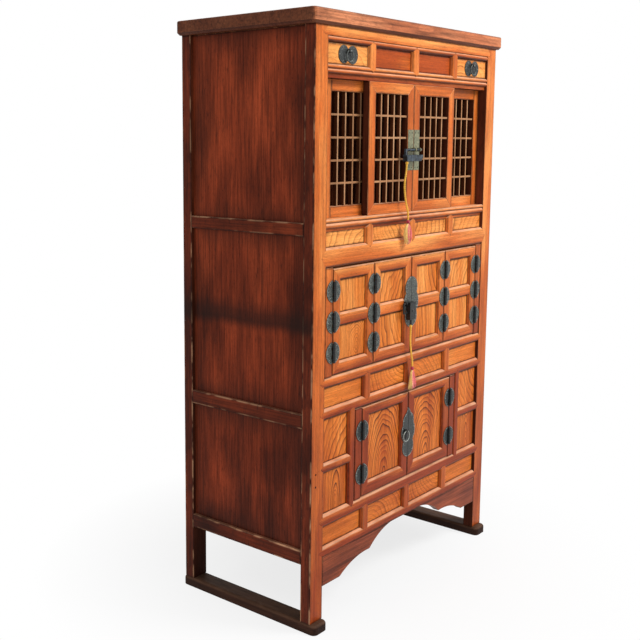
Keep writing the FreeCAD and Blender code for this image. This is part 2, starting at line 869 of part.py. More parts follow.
def lattice_leaf(x0, x1, face, stile, mitred):
    """A sliding leaf: its frame, with tongues for the grooves, and its crossed bars."""
    z0 = level["lattice"] + lattice_floor_gap
    z1 = level["rail_2"] - lattice_head_gap
    rear = face + lattice_thickness
    low_tongue = track_low_tongue
    high_tongue = track_high_tongue + lattice_head_gap
    outlines = frame_outlines(x0, x1, z0, z1, stile, lattice_rail_height, lattice_rail_height,
                              low_tongue, high_tongue, mitred)
    shoulder = (lattice_thickness - track_tongue) / 2
    waste = []
    for d0 in (face, rear - shoulder):
        waste.append(block(x0, x1, d0, d0 + shoulder, z0 - low_tongue, z0))
        waste.append(block(x0, x1, d0, d0 + shoulder, z1, z1 + high_tongue))
    frame = carved([prism(o, face, rear) for o in outlines.values()], waste)
    a = x0 + stile
    b = x1 - stile
    c = z0 + lattice_rail_height
    d = z1 - lattice_rail_height
    d0 = face + bar_recess
    middle = d0 + bar_depth / 2
    d1 = d0 + bar_depth
    half = bar_width / 2
    xs = [a + (b - a) * i / bar_columns for i in range(1, bar_columns)]
    zs = [c + (d - c) * i / bar_rows for i in range(1, bar_rows)]
    upright_bars = [block(x - half, x + half, d0, d1, c, d) for x in xs]
    cross_bars = [block(a, b, d0, d1, z - half, z + half) for z in zs]
    rear_notches = [block(a, b, middle, d1, z - half, z + half) for z in zs]
    front_notches = [block(x - half, x + half, d0, middle, c, d) for x in xs]
    bars = carved(upright_bars, rear_notches) + carved(cross_bars, front_notches)
    return frame, bars


def lattice_leaves():
    """The four sliding leaves, from left to right, as (frame, bars)."""
    x_home = inner_half - lattice_post_gap
    left_x = left_leaf_drawn - x_home
    meet = lattice_meeting_gap
    middle = lattice_leaf(-meet - lattice_middle_width, -meet, lattice_front_face,
                          lattice_middle_stile, True)
    outer_left = lattice_leaf(left_x, left_x + lattice_outer_width, lattice_rear_face,
                              lattice_outer_stile, False)
    outer_right = lattice_leaf(x_home - lattice_outer_width, x_home, lattice_rear_face,
                               lattice_outer_stile, False)
    middle_right = ([mirrored(s) for s in middle[0]], [mirrored(s) for s in middle[1]])
    return outer_left, middle, middle_right, outer_right


# Hardware

def hinge_half(axis_x, z, side, holds_pin):
    """Half of a round hinge: side is -1 where its plate lies to the left of the seam."""
    face = leaf_face_depth
    front = face - hinge_plate_thickness
    clear = hinge_barrel_radius + hinge_plate_clearance
    inner = axis_x + side * clear
    outer = axis_x + side * (hinge_radius + fit_overrun)
    low = z - hinge_barrel_length / 2
    pitch = hinge_barrel_length / hinge_knuckles
    keep = block(min(inner, outer), max(inner, outer), front, face, z - hinge_radius, z + hinge_radius)
    pieces = [disc(hinge_radius, axis_x, z, front, face).common(keep)]
    for index in range(0 if holds_pin else 1, hinge_knuckles, 2):
        z0 = low + index * pitch + hinge_knuckle_gap / 2
        z1 = z0 + pitch - hinge_knuckle_gap
        pieces.append(rod(hinge_barrel_radius, (axis_x, hinge_axis_depth, z0),
                          (axis_x, hinge_axis_depth, z1)))
        tab_end = inner + side * hinge_plate_thickness
        pieces.append(block(min(axis_x, tab_end), max(axis_x, tab_end), front, face, z0, z1))
    pin_radius = hinge_pin_radius if holds_pin else hinge_pin_radius + hinge_pin_gap
    pin = rod(pin_radius, (axis_x, hinge_axis_depth, low), (axis_x, hinge_axis_depth, -low + 2 * z))
    if holds_pin:
        return joined(*pieces, pin)
    return joined(*pieces).cut(pin)


def fold_hinge_zs():
    return [level["fold"] + h for h in fold_hinge_heights]


def door_hinge_zs():
    return [level["lower"] + h for h in door_hinge_heights]


def fixed_hinge_halves():
    left = [hinge_half(-seam, z, -1, True) for z in fold_hinge_zs()]
    left += [hinge_half(-door_seam, z, -1, True) for z in door_hinge_zs()]
    return both_sides(left)


def left_half_of(plate, z):
    """The part of a plate that lies left of the seam in the middle."""
    reach = fold_plate_middle_radius + fit_overrun
    tall = fold_plate_height + fit_overrun
    front = leaf_face_depth - plate_thickness
    return plate.common(block(-reach, -plate_split_gap, front, leaf_face_depth, z - tall, z + tall))


def fold_lock_plate():
    """The left half of the three-lobed plate on the folding doors."""
    z = level["fold"] + fold_plate_height
    face = leaf_face_depth
    front = face - plate_thickness
    plate = joined(disc(fold_plate_middle_radius, 0, z, front, face),
                   disc(fold_plate_lobe_radius, 0, z + fold_plate_lobe_offset, front, face),
                   disc(fold_plate_lobe_radius, 0, z - fold_plate_lobe_offset, front, face))
    return left_half_of(plate, z)


def door_lock_plate():
    """The left half of the pointed plate on the lower doors."""
    z = level["lower"] + door_plate_height
    face = leaf_face_depth
    front = face - plate_thickness
    half = door_plate_point_width / 2
    shoulder = z + door_plate_upper_offset + half / 2
    point = prism([(-half, shoulder), (half, shoulder), (0, z + door_plate_point)], front, face)
    plate = joined(disc(door_plate_middle_radius, 0, z, front, face),
                   disc(door_plate_lobe_radius, 0, z + door_plate_upper_offset, front, face),
                   disc(door_plate_lobe_radius, 0, z - door_plate_lower_offset, front, face), point)
    return left_half_of(plate, z)


def eye(x, z, plate_depth, axis_depth, bore_radius):
    """A flat eye that stands out of a plate, bored from side to side."""
    outer = bore_radius + eye_wall
    half = eye_width / 2
    head = rod(outer, (x - half, axis_depth, z), (x + half, axis_depth, z))
    neck = block(x - half, x + half, axis_depth, plate_depth, z - outer, z + outer)
    bore = rod(bore_radius, (x - eye_width, axis_depth, z), (x + eye_width, axis_depth, z))
    return head.fuse(neck).removeSplitter().cut(bore)


def lattice_plate():
    """A straight plate on the left middle lattice door, with the eye for the padlock's bar."""
    x0 = -lattice_plate_inset - lattice_plate_width
    face = lattice_front_face
    front = face - lattice_plate_thickness
    z0 = level["lattice"] + lattice_plate_low
    z1 = z0 + lattice_plate_height
    plate = block(x0, x0 + lattice_plate_width, front, face, z0, z1)
    bore_radius = lock_bar_radius + lock_bar_gap
    return joined(plate, eye(-upper_eye_seam_distance, upper_bar_z(), front, upper_bar_depth(), bore_radius))


def upper_bar_z():
    return level["lattice"] + upper_lock_low + upper_lock_height - lock_bar_radius


def upper_padlock():
    """A padlock drawn open: a body, one end arm and a bar whose right end is free."""
    x0 = upper_lock_left
    x1 = x0 + upper_lock_length
    z0 = level["lattice"] + upper_lock_low
    z1 = z0 + upper_lock_height
    shoulder = z0 + upper_lock_body_height
    front = lattice_front_face - lattice_plate_thickness - upper_lock_reach - lock_bar_radius
    rear = front + upper_lock_thickness
    axis_d = upper_bar_depth()
    outline = [(x0, z0), (x1 - upper_lock_taper, z0), (x1, shoulder - upper_lock_arm),
               (x1, shoulder), (x0, shoulder)]
    body = prism(outline, front, rear)
    bar_z = upper_bar_z()
    bar = rod(lock_bar_radius, (x0, axis_d, bar_z), (x1, axis_d, bar_z))
    arm_front = axis_d - lock_bar_radius
    arm_rear = axis_d + lock_bar_radius
    arm = block(x0, x0 + upper_lock_arm, arm_front, arm_rear, shoulder, z1)
    return joined(body, bar, arm)


def upper_bar_depth():
    front = lattice_front_face - lattice_plate_thickness - upper_lock_reach - lock_bar_radius
    return front + upper_lock_thickness / 2


def fold_bar():
    """The (depth, z) of the bar that the lower padlock hangs by."""
    z = level["fold"] + fold_lock_low + fold_lock_height - fold_bar_drop
    return leaf_face_depth - fold_bar_reach, z


def fold_eye_x():
    return -fold_lock_seam_gap - fold_lock_width - fold_eye_setback


def fold_padlock():
    """An upright padlock with a shackle on its left and a stem for the cord below."""
    x1 = -fold_lock_seam_gap
    x0 = x1 - fold_lock_width
    z0 = level["fold"] + fold_lock_low
    z1 = z0 + fold_lock_height
    axis_d, bar_z = fold_bar()
    middle = leaf_face_depth - fold_lock_reach
    front = middle - fold_lock_thickness / 2
    rear = middle + fold_lock_thickness / 2
    body = block(x0, x1, front, rear, z0, z1)
    side_x = x0 - fold_shackle_span
    low_z = bar_z - fold_shackle_drop
    r = lock_bar_radius
    shackle = [
        rod(r, (side_x, axis_d, bar_z), (x0 + r, axis_d, bar_z)),
        rod(r, (side_x, axis_d, low_z), (side_x, axis_d, bar_z)),
        rod(r, (side_x, axis_d, low_z), (x0 + r, axis_d, low_z)),
        Part.makeSphere(r, vec(side_x, at(axis_d), bar_z)),
        Part.makeSphere(r, vec(side_x, at(axis_d), low_z)),
    ]
    stem_x = (x0 + x1) / 2
    stem = rod(fold_stem_radius, (stem_x, middle, z0 - fold_stem_length), (stem_x, middle, z0 + r))
    return joined(body, stem, *shackle)


def ring_axis():
    """The (x, depth, z) of the eye that the ring pull hangs from."""
    z = level["lower"] + door_plate_height + ring_major_radius - ring_drop
    return -ring_seam_distance, leaf_face_depth - plate_thickness - ring_reach, z


def ring_pull():
    x, d, z = ring_axis()
    return Part.makeTorus(ring_major_radius, ring_wire, vec(x, at(d), z - ring_major_radius), vec(0, 1, 0))


def door_plate_with_eye():
    """The left door's half plate, with the ring's eye and a round knob inside the ring."""
    x, d, z = ring_axis()
    front = leaf_face_depth - plate_thickness
    knob = disc(knob_radius, x, z - ring_major_radius, front - knob_height, leaf_face_depth)
    ring_eye = eye(x, z, front, d, ring_wire + ring_gap)
    return joined(door_lock_plate(), ring_eye, knob)


def fold_plate_with_eye():
    axis_d, bar_z = fold_bar()
    front = leaf_face_depth - plate_thickness
    return joined(fold_lock_plate(), eye(fold_eye_x(), bar_z, front, axis_d, lock_bar_radius + lock_bar_gap))


# Cords

def cord_tube(name, route):
    """A tube of straight runs and tangent arcs along a route."""
    points = [vec(x, at(-d), z) for x, d, z in route]
    runs = [(b - a).Length for a, b in zip(points, points[1:])]
    edges = []
    here = points[0]
    radii = []
    for index in range(1, len(points) - 1):
        before = (points[index - 1] - points[index]).normalize()
        after = (points[index + 1] - points[index]).normalize()
        turn = math.pi - before.getAngle(after)
        setback = bend_share * min(runs[index - 1], runs[index])
        radius = setback / math.tan(turn / 2)
        start = points[index] + before * setback
        end = points[index] + after * setback
        bisector = (before + after).normalize()
        centre = points[index] + bisector * (radius / math.cos(turn / 2))
        edges.append(Part.LineSegment(here, start).toShape())
        edges.append(Part.Arc(start, centre - bisector * radius, end).toShape())
        radii.append(round(radius, 1))
        here = end
    edges.append(Part.LineSegment(here, points[-1]).toShape())
    path = Part.Wire(edges)
    ring = Part.Wire(Part.makeCircle(cord_radius, points[0], points[1] - points[0]))
    tube = path.makePipeShell([ring], True, False)
    share = tube.Volume / (math.pi * cord_radius ** 2 * path.Length)
    print(name, "length", round(path.Length, 1), "radii", radii, "volume share", round(share, 4))
    return Part.makeSolid(tube)


def tassel(route, length):
    """A bead and a flattened skirt of threads under the end of a cord."""
    x, d, z = route[-1]
    y = at(-d)
    bead_z = z - bead_radius
    bead = Part.makeSphere(bead_radius, vec(x, y, bead_z))
    flat = block(x - bead_radius, x + bead_radius, -d - bead_radius, bead_radius - d,
                 bead_z - bead_radius, z - tassel_neck / 2)
    top = bead_z - bead_radius + tassel_neck
    skirt = Part.makeCone(tassel_bottom_radius, tassel_top_radius, length, vec(x, y, top - length))
    reach = tassel_bottom_radius + fit_overrun
    half = tassel_depth / 2
    skirt = skirt.common(block(x - reach, x + reach, -d - half, half - d, top - length, top))
    cap = rod(cord_radius, (x, -d, z - tassel_neck), (x, -d, z))
    return joined(bead.common(flat), skirt, cap)


# Every named piece

def build():
    nodes = {}
    posts_front = [post(-1, "front"), post(1, "front")]
    posts_back = [post(-1, "back"), post(1, "back")]
    panels = front_panels()
    uprights = carved(front_uprights(), panels)
    low = level["lattice"] - track_low_depth
    high = level["rail_2"] + track_high_depth
    tracks = track_grooves(low, level["lattice"]) + track_grooves(level["rail_2"], high)
    rails = carved(front_rails(), uprights + panels + tracks)
    small_rails = bay_rails()
    small_rails = carved(small_rails, panels)
    uprights = carved(uprights, small_rails)
    shell_panels = side_panels()
    rear_panels = back_panels()
    seats = rails + small_rails + panels + shell_panels + rear_panels
    posts_front = carved(posts_front, seats)
    posts_back = carved(posts_back, shell_panels + rear_panels)

    nodes["top_board"] = [top_board()]
    nodes["post_front_left"] = [posts_front[0]]
    nodes["post_front_right"] = [posts_front[1]]
    nodes["posts_back"] = posts_back
    nodes["runner_left"] = [runner(-1)]
    nodes["runner_right"] = [runner(1)]
    for number, rail in enumerate(rails, start=1):
        nodes["rail_%d" % number] = [rail]
    nodes["apron"] = apron()
    nodes["front_uprights"] = uprights
    nodes["front_panels"] = panels
    nodes["bay_rails"] = small_rails
    nodes["side_rails"] = carved(side_rails(), shell_panels)
    nodes["side_panels"] = shell_panels
    nodes["back_rails"] = carved(back_rails(), rear_panels)
    nodes["back_panels"] = rear_panels
    nodes["shelves"] = shelves(posts_front + posts_back)
    nodes["bearers_and_guides"] = bearers_and_guides()
    nodes["hinges_fixed"] = fixed_hinge_halves()

    pair = {"left": lambda s: s, "right": mirrored}
    for side, turned in pair.items():
        nodes["drawer_" + side] = [turned(s) for s in drawer()]
        nodes["pull_plate_" + side] = [turned(pull_plate())]
        nodes["bail_" + side] = [turned(bail())]
        outer_hinges = [hinge_half(-seam, z, 1, False) for z in fold_hinge_zs()]
        outer_hinges += [hinge_half(-leaf_width, z, -1, True) for z in fold_hinge_zs()]
        inner_hinges = [hinge_half(-leaf_width, z, 1, False) for z in fold_hinge_zs()]
        inner_hinges.append(fold_plate_with_eye() if side == "left" else fold_lock_plate())
        door_hinges = [hinge_half(-door_seam, z, 1, False) for z in door_hinge_zs()]
        door_hinges.append(door_plate_with_eye() if side == "left" else door_lock_plate())
        nodes["fold_outer_" + side] = [turned(s) for s in fold_leaf(True)]
        nodes["fold_outer_iron_" + side] = [turned(s) for s in outer_hinges]
        nodes["fold_inner_" + side] = [turned(s) for s in fold_leaf(False)]
        nodes["fold_inner_iron_" + side] = [turned(s) for s in inner_hinges]
        nodes["lower_door_" + side] = [turned(s) for s in lower_door()]
        nodes["lower_door_iron_" + side] = [turned(s) for s in door_hinges]

    names = ("outer_left", "middle_left", "middle_right", "outer_right")
    for name, (frame, bars) in zip(names, lattice_leaves()):
        nodes["lattice_frame_" + name] = frame
        nodes["lattice_bars_" + name] = bars
    nodes["lattice_plate_left"] = [lattice_plate()]
    nodes["lattice_plate_right"] = [mirrored(lattice_plate())]
    nodes["ring_pull"] = [ring_pull()]
    nodes["padlock_upper"] = [upper_padlock()]
    nodes["padlock_fold"] = [fold_padlock()]
    nodes["cord_upper"] = [cord_tube("cord_upper", upper_cord_route)]
    nodes["cord_fold"] = [cord_tube("cord_fold", fold_cord_route)]
    nodes["tassel_upper"] = [tassel(upper_cord_route, upper_tassel_length)]
    nodes["tassel_fold"] = [tassel(fold_cord_route, fold_tassel_length)]
    return nodes


def main():
    nodes = build()
    for name, solids in nodes.items():
        shape = solids[0] if len(solids) == 1 else Part.makeCompound(solids)
        shape.exportStep("parts/%s.step" % name)
    print(len(nodes), "nodes")


os.makedirs("parts", exist_ok=True)
main()
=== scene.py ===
# %% [markdown]
# A tall wooden kitchen chest, dressed for a photograph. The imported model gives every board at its
# real place, so this script never moves one. It gives each board its own run of grain and soft
# edges, and adds what is too fine for the model: nails, rims, knots, twisted cords and tassels.

# %% Load the fixed frame
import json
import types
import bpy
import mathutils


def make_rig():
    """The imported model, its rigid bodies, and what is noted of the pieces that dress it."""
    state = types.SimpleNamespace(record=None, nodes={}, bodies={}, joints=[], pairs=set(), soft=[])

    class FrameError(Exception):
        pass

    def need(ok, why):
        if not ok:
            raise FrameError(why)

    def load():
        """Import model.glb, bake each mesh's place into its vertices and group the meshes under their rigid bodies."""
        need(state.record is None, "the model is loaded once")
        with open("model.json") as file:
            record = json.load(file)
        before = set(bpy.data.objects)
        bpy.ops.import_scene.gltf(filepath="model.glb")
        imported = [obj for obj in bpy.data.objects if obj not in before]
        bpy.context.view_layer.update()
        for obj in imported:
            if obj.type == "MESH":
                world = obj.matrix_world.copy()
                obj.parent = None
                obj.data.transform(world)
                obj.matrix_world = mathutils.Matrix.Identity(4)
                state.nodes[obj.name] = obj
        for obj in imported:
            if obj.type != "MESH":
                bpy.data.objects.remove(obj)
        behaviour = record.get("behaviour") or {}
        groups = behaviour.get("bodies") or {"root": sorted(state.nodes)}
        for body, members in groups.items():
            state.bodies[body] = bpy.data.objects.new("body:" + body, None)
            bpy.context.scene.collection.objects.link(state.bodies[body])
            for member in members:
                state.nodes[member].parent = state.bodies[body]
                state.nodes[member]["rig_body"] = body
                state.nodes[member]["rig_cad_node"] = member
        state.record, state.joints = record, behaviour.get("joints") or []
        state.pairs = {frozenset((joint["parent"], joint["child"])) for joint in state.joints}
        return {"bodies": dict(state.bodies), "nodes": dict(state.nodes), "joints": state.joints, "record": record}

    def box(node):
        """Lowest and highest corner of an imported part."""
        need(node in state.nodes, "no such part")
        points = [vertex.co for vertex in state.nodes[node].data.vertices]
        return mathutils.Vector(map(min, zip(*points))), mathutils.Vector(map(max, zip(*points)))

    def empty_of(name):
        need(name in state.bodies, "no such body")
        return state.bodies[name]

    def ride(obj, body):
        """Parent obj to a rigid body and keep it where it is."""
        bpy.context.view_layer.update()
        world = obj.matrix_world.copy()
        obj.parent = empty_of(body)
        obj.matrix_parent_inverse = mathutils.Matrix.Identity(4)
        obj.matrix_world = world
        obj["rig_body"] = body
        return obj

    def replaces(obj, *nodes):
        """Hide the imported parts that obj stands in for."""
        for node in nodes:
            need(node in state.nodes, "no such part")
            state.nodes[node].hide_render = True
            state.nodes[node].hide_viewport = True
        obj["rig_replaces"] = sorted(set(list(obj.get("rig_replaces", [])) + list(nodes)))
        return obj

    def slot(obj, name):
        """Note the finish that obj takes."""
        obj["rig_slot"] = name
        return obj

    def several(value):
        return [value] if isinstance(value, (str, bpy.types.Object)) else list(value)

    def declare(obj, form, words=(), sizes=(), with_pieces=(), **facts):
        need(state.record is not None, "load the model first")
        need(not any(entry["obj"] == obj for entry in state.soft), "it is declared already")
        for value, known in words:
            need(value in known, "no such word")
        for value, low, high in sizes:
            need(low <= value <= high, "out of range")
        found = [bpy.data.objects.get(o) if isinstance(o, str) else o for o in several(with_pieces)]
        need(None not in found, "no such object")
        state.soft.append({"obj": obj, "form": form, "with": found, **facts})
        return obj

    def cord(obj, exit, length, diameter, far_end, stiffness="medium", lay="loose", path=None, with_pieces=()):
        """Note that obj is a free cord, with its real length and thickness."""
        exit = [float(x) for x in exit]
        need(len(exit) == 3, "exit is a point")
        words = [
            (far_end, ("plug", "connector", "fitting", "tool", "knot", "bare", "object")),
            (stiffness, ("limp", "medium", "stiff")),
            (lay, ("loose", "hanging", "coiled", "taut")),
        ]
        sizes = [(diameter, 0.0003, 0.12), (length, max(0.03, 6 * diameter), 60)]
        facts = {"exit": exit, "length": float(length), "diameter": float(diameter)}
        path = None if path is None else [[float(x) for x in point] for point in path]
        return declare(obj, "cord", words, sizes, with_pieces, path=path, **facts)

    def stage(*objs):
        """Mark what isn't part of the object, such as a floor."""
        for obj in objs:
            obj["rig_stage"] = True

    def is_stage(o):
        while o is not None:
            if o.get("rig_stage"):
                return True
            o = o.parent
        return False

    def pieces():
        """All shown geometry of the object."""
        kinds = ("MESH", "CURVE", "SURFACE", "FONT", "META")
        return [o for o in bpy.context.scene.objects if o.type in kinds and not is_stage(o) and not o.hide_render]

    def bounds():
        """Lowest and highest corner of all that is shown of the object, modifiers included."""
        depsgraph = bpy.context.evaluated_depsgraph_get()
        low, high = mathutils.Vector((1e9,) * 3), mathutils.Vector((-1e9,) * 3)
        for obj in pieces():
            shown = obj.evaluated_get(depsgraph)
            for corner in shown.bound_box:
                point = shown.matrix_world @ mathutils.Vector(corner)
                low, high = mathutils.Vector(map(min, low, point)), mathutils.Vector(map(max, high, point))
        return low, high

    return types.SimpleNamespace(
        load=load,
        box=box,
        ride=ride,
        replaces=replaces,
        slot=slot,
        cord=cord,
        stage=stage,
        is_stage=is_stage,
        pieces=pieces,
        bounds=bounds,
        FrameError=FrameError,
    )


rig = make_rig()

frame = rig.load()
cad_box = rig.bounds()

import json
import math
import random
import bmesh
import bpy
from mathutils import Matrix, Vector

MM = 0.001
scene = bpy.context.scene
joints = {joint["name"]: joint for joint in frame["joints"]}
body_of = {n: b for b, nodes in frame["record"]["behaviour"]["bodies"].items() for n in nodes}
slot_of = {row["node"]: row["material_slot"] for row in frame["record"]["subparts"]}
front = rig.box("post_front_left")[0].y
print("nodes", len(frame["nodes"]), "front plane at", round(front, 4))

# %% [markdown]
# The camera stands a little above mid height, to the left of the chest and well in front. Its
# place came from matching the chest's corners, and the two shifts keep the uprights parallel
# while the chest still fills the frame.

# %% Camera
camera_place = Vector((-2.513, -1.7633, 1.3475))
camera_turn = 48.57
camera_tilt = -7.78
camera = bpy.data.objects.new("camera", bpy.data.cameras.new("camera"))
scene.collection.objects.link(camera)
camera.location = camera_place
camera.rotation_euler = (math.radians(90 + camera_tilt), 0, math.radians(-camera_turn))
camera.data.lens = 54.77
camera.data.sensor_width = 36
camera.data.shift_x = 0.125
camera.data.shift_y = -0.0703
scene.camera = camera
print("camera at", camera_place)

# %% [markdown]
# A material is a small tree of nodes. This helper adds a node and wires it in one line, so that
# each finish below reads as a recipe.

# %% A recipe for a material


def paint(code):
    """A linear colour from a six-letter code as a screen shows it."""
    shares = [int(code[i:i + 2], 16) / 255 for i in (0, 2, 4)]
    return [c / 12.92 if c <= 0.04045 else ((c + 0.055) / 1.055) ** 2.4 for c in shares] + [1]


class Recipe:
    """A material whose nodes are wired as they are added."""

    def __init__(self, name):
        self.material = bpy.data.materials.new(name)
        self.material.use_nodes = True
        self.tree = self.material.node_tree
        self.shader = self.tree.nodes["Principled BSDF"]

    def feed(self, socket, value):
        if isinstance(value, bpy.types.NodeSocket):
            self.tree.links.new(value, socket)
        else:
            socket.default_value = value

    def add(self, kind, inputs=None, **settings):
        node = self.tree.nodes.new("ShaderNode" + kind)
        for key, value in settings.items():
            setattr(node, key, value)
        for key, value in (inputs or {}).items():
            self.feed(node.inputs[key], value)
        return node

    def math(self, operation, *values):
        return self.add("Math", dict(enumerate(values)), operation=operation).outputs[0]

    def vector(self, operation, a, b=None, scale=None):
        inputs = {0: a}
        if b is not None:
            inputs[1] = b
        if scale is not None:
            inputs["Scale"] = scale
        return self.add("VectorMath", inputs, operation=operation).outputs["Vector"]

    def split(self, vector):
        return self.add("SeparateXYZ", {0: vector}).outputs

    def attribute(self, name, output="Vector"):
        return self.add("Attribute", attribute_name=name).outputs[output]

    def noise(self, vector, stretch, detail, turn=0.0, output=0):
        """Noise with so many waves a metre along each axis of the vector."""
        waves = self.vector("MULTIPLY", vector, stretch)
        inputs = {"Vector": waves, "W": turn, "Scale": 1.0, "Detail": detail}
        return self.add("TexNoise", inputs, noise_dimensions="4D").outputs[output]

    def drift(self, vector, stretch, detail, turn, reach):
        """A smooth random shift of about a fifth of the reach each way."""
        colour = self.noise(vector, stretch, detail, turn, "Color")
        return self.vector("SCALE", self.vector("SUBTRACT", colour, (0.5, 0.5, 0.5)), scale=reach)

    def ramp(self, factor, *stops):
        node = self.add("ValToRGB", {"Fac": factor})
        elements = node.color_ramp.elements
        while len(elements) < len(stops):
            elements.new(0.5)
        for element, (place, colour) in zip(elements, stops):
            element.position = place
            element.color = colour if isinstance(colour, list) else [colour] * 3 + [1]
        return node.outputs["Color"]

    def mix(self, factor, a, b, blend="MIX"):
        node = self.add("Mix", {0: factor, 6: a, 7: b}, data_type="RGBA", blend_type=blend)
        return node.outputs[2]

    def times(self, colour, factor):
        """The colour made darker or brighter by a factor."""
        return self.mix(1.0, colour, factor, "MULTIPLY")

    def cover(self, colour, share, code):
        """The colour with a share of another over it."""
        return self.mix(share, colour, paint(code))

    def bump(self, height, strength, distance):
        node = self.add("Bump", {"Height": height, "Strength": strength, "Distance": distance})
        self.feed(self.shader.inputs["Normal"], node.outputs[0])

    def surface(self, **sockets):
        for key, value in sockets.items():
            self.feed(self.shader.inputs[key.replace("_", " ")], value)


# %% [markdown]
# Wood is cut from rings. A board is a slice through a cone of rings: where the slice runs along
# the cone's slope it shows nested arches, and where it passes far from the heart it shows straight
# lines. So the pattern is the distance from a heart line that leans against the board. Each board
# stores its own coordinates (along the grain, across it and through it), its half size, where the
# heart line lies, and how wide and strong its rings are. A hundred boards then share one recipe.

# %% Wood


def ring_lines(r, place, turn):
    """How dark the ring lines are, how late in its year the wood is, and the board's tone."""
    heart = r.split(r.attribute("heart"))
    ring, figure, tone = r.split(r.attribute("rings"))
    ripple = r.drift(place, (18.0, 30.0, 30.0), 2.0, turn, r.math("MULTIPLY", ring, 1.1))
    sway = r.drift(place, (3.6, 12.0, 12.0), 2.0, turn, 0.026)
    bent = r.vector("ADD", r.vector("ADD", place, sway), ripple)
    along, across, through = r.split(bent)
    rise = r.math("MULTIPLY_ADD", r.math("SUBTRACT", along, heart[0]), heart[2], through)
    side = r.math("SUBTRACT", across, heart[1])
    squares = [r.math("MULTIPLY", part, part) for part in (rise, side)]
    count = r.math("DIVIDE", r.math("SQRT", r.math("ADD", *squares)), ring)
    uneven = r.noise(r.add("CombineXYZ", {0: count}).outputs[0], (0.45, 1.0, 1.0), 1.0, turn)
    count = r.math("MULTIPLY_ADD", uneven, 1.8, count)
    year = r.math("FRACT", count)
    lines = r.ramp(year, (0.0, 0.25), (0.06, 0.0), (0.60, 0.05), (0.84, 0.45), (0.93, 1.0), (1.0, 0.30))
    which = r.add("CombineXYZ", {0: r.math("FLOOR", count)}).outputs[0]
    weight = r.ramp(r.noise(which, (0.37, 1.0, 1.0), 0.0, turn), (0.38, 0.35), (0.60, 1.0))
    lines = r.math("MULTIPLY", r.math("MULTIPLY", lines, weight), figure)
    return lines, r.math("MULTIPLY", year, figure), tone


def smoke_and_shaded_edges(r, colour, place, turn, cloud, shade, edge_grime_and_shade):
    """Smoke along the border, and a dark band along every board's edges that is partly soiling and partly painted
    shade where boards meet. Also says how far the long edges are.
    """
    half = r.split(r.attribute("half"))
    gaps = [r.math("SUBTRACT", h, r.math("ABSOLUTE", f)) for h, f in zip(half, r.split(place))]
    edge = r.math("MAXIMUM", gaps[1], gaps[2])
    near = r.math("MINIMUM", gaps[0], edge)
    inset = r.math("DIVIDE", r.math("MULTIPLY_ADD", cloud, 0.05, near), 0.12)
    narrow = r.math("LESS_THAN", half[1], 0.06)
    border = r.mix(narrow, r.ramp(inset, (0.15, shade), (0.75, 0.0)), [0.7 * shade] * 3 + [1])
    colour = r.cover(colour, border, "1d0e09")
    # Painted shade mixed with real grime: a dark band along each board's edges, where boards meet in grooves and
    # corners.
    ragged = r.math("MULTIPLY_ADD", r.noise(place, (60.0, 60.0, 60.0), 2.0, turn), 0.006, near)
    soil_and_shade = r.ramp(r.math("DIVIDE", ragged, 0.02), (0.22, edge_grime_and_shade), (0.42, 0.0))
    return r.cover(colour, soil_and_shade, "22100a"), edge


def wear_and_painted_light(r, colour, place, turn, edge, fibres, wear, fray, rub):
    """Pale arrises and long edges where hands have been, a painted highlight on the upward rounds, and painted shade
    on the undersides.
    """
    patches = r.noise(place, (22.0, 60.0, 60.0), 2.0, turn)
    arris = r.ramp(patches, (0.42, 0.0), (0.60, wear))
    colour = r.cover(colour, r.math("MULTIPLY", r.attribute("arris", "Fac"), arris), "e0a070")
    rim = r.ramp(r.math("DIVIDE", edge, 0.02), (0.10, fray), (0.26, 0.0))
    frayed = r.math("MULTIPLY", rim, r.ramp(patches, (0.48, 0.0), (0.60, 1.0)))
    colour = r.cover(colour, frayed, "b98a68")
    # Painted highlight on faces that look up and painted shade on faces that look down, as light from above would fall
    # on them.
    up = r.split(r.add("NewGeometry").outputs["Normal"])[2]
    uneven = r.math("MULTIPLY_ADD", r.math("SUBTRACT", fibres, 0.5), 0.7, up)
    rounds = r.ramp(uneven, (0.10, 0.0), (0.60, rub))
    rubbed = r.math("MULTIPLY", rounds, r.ramp(patches, (0.3, 0.5), (0.6, 1.0)))
    colour = r.cover(colour, rubbed, "f0b690")
    below = r.ramp(r.math("MULTIPLY", up, -1.0), (0.05, 0.0), (0.50, 0.74))
    return r.cover(colour, below, "35140a")


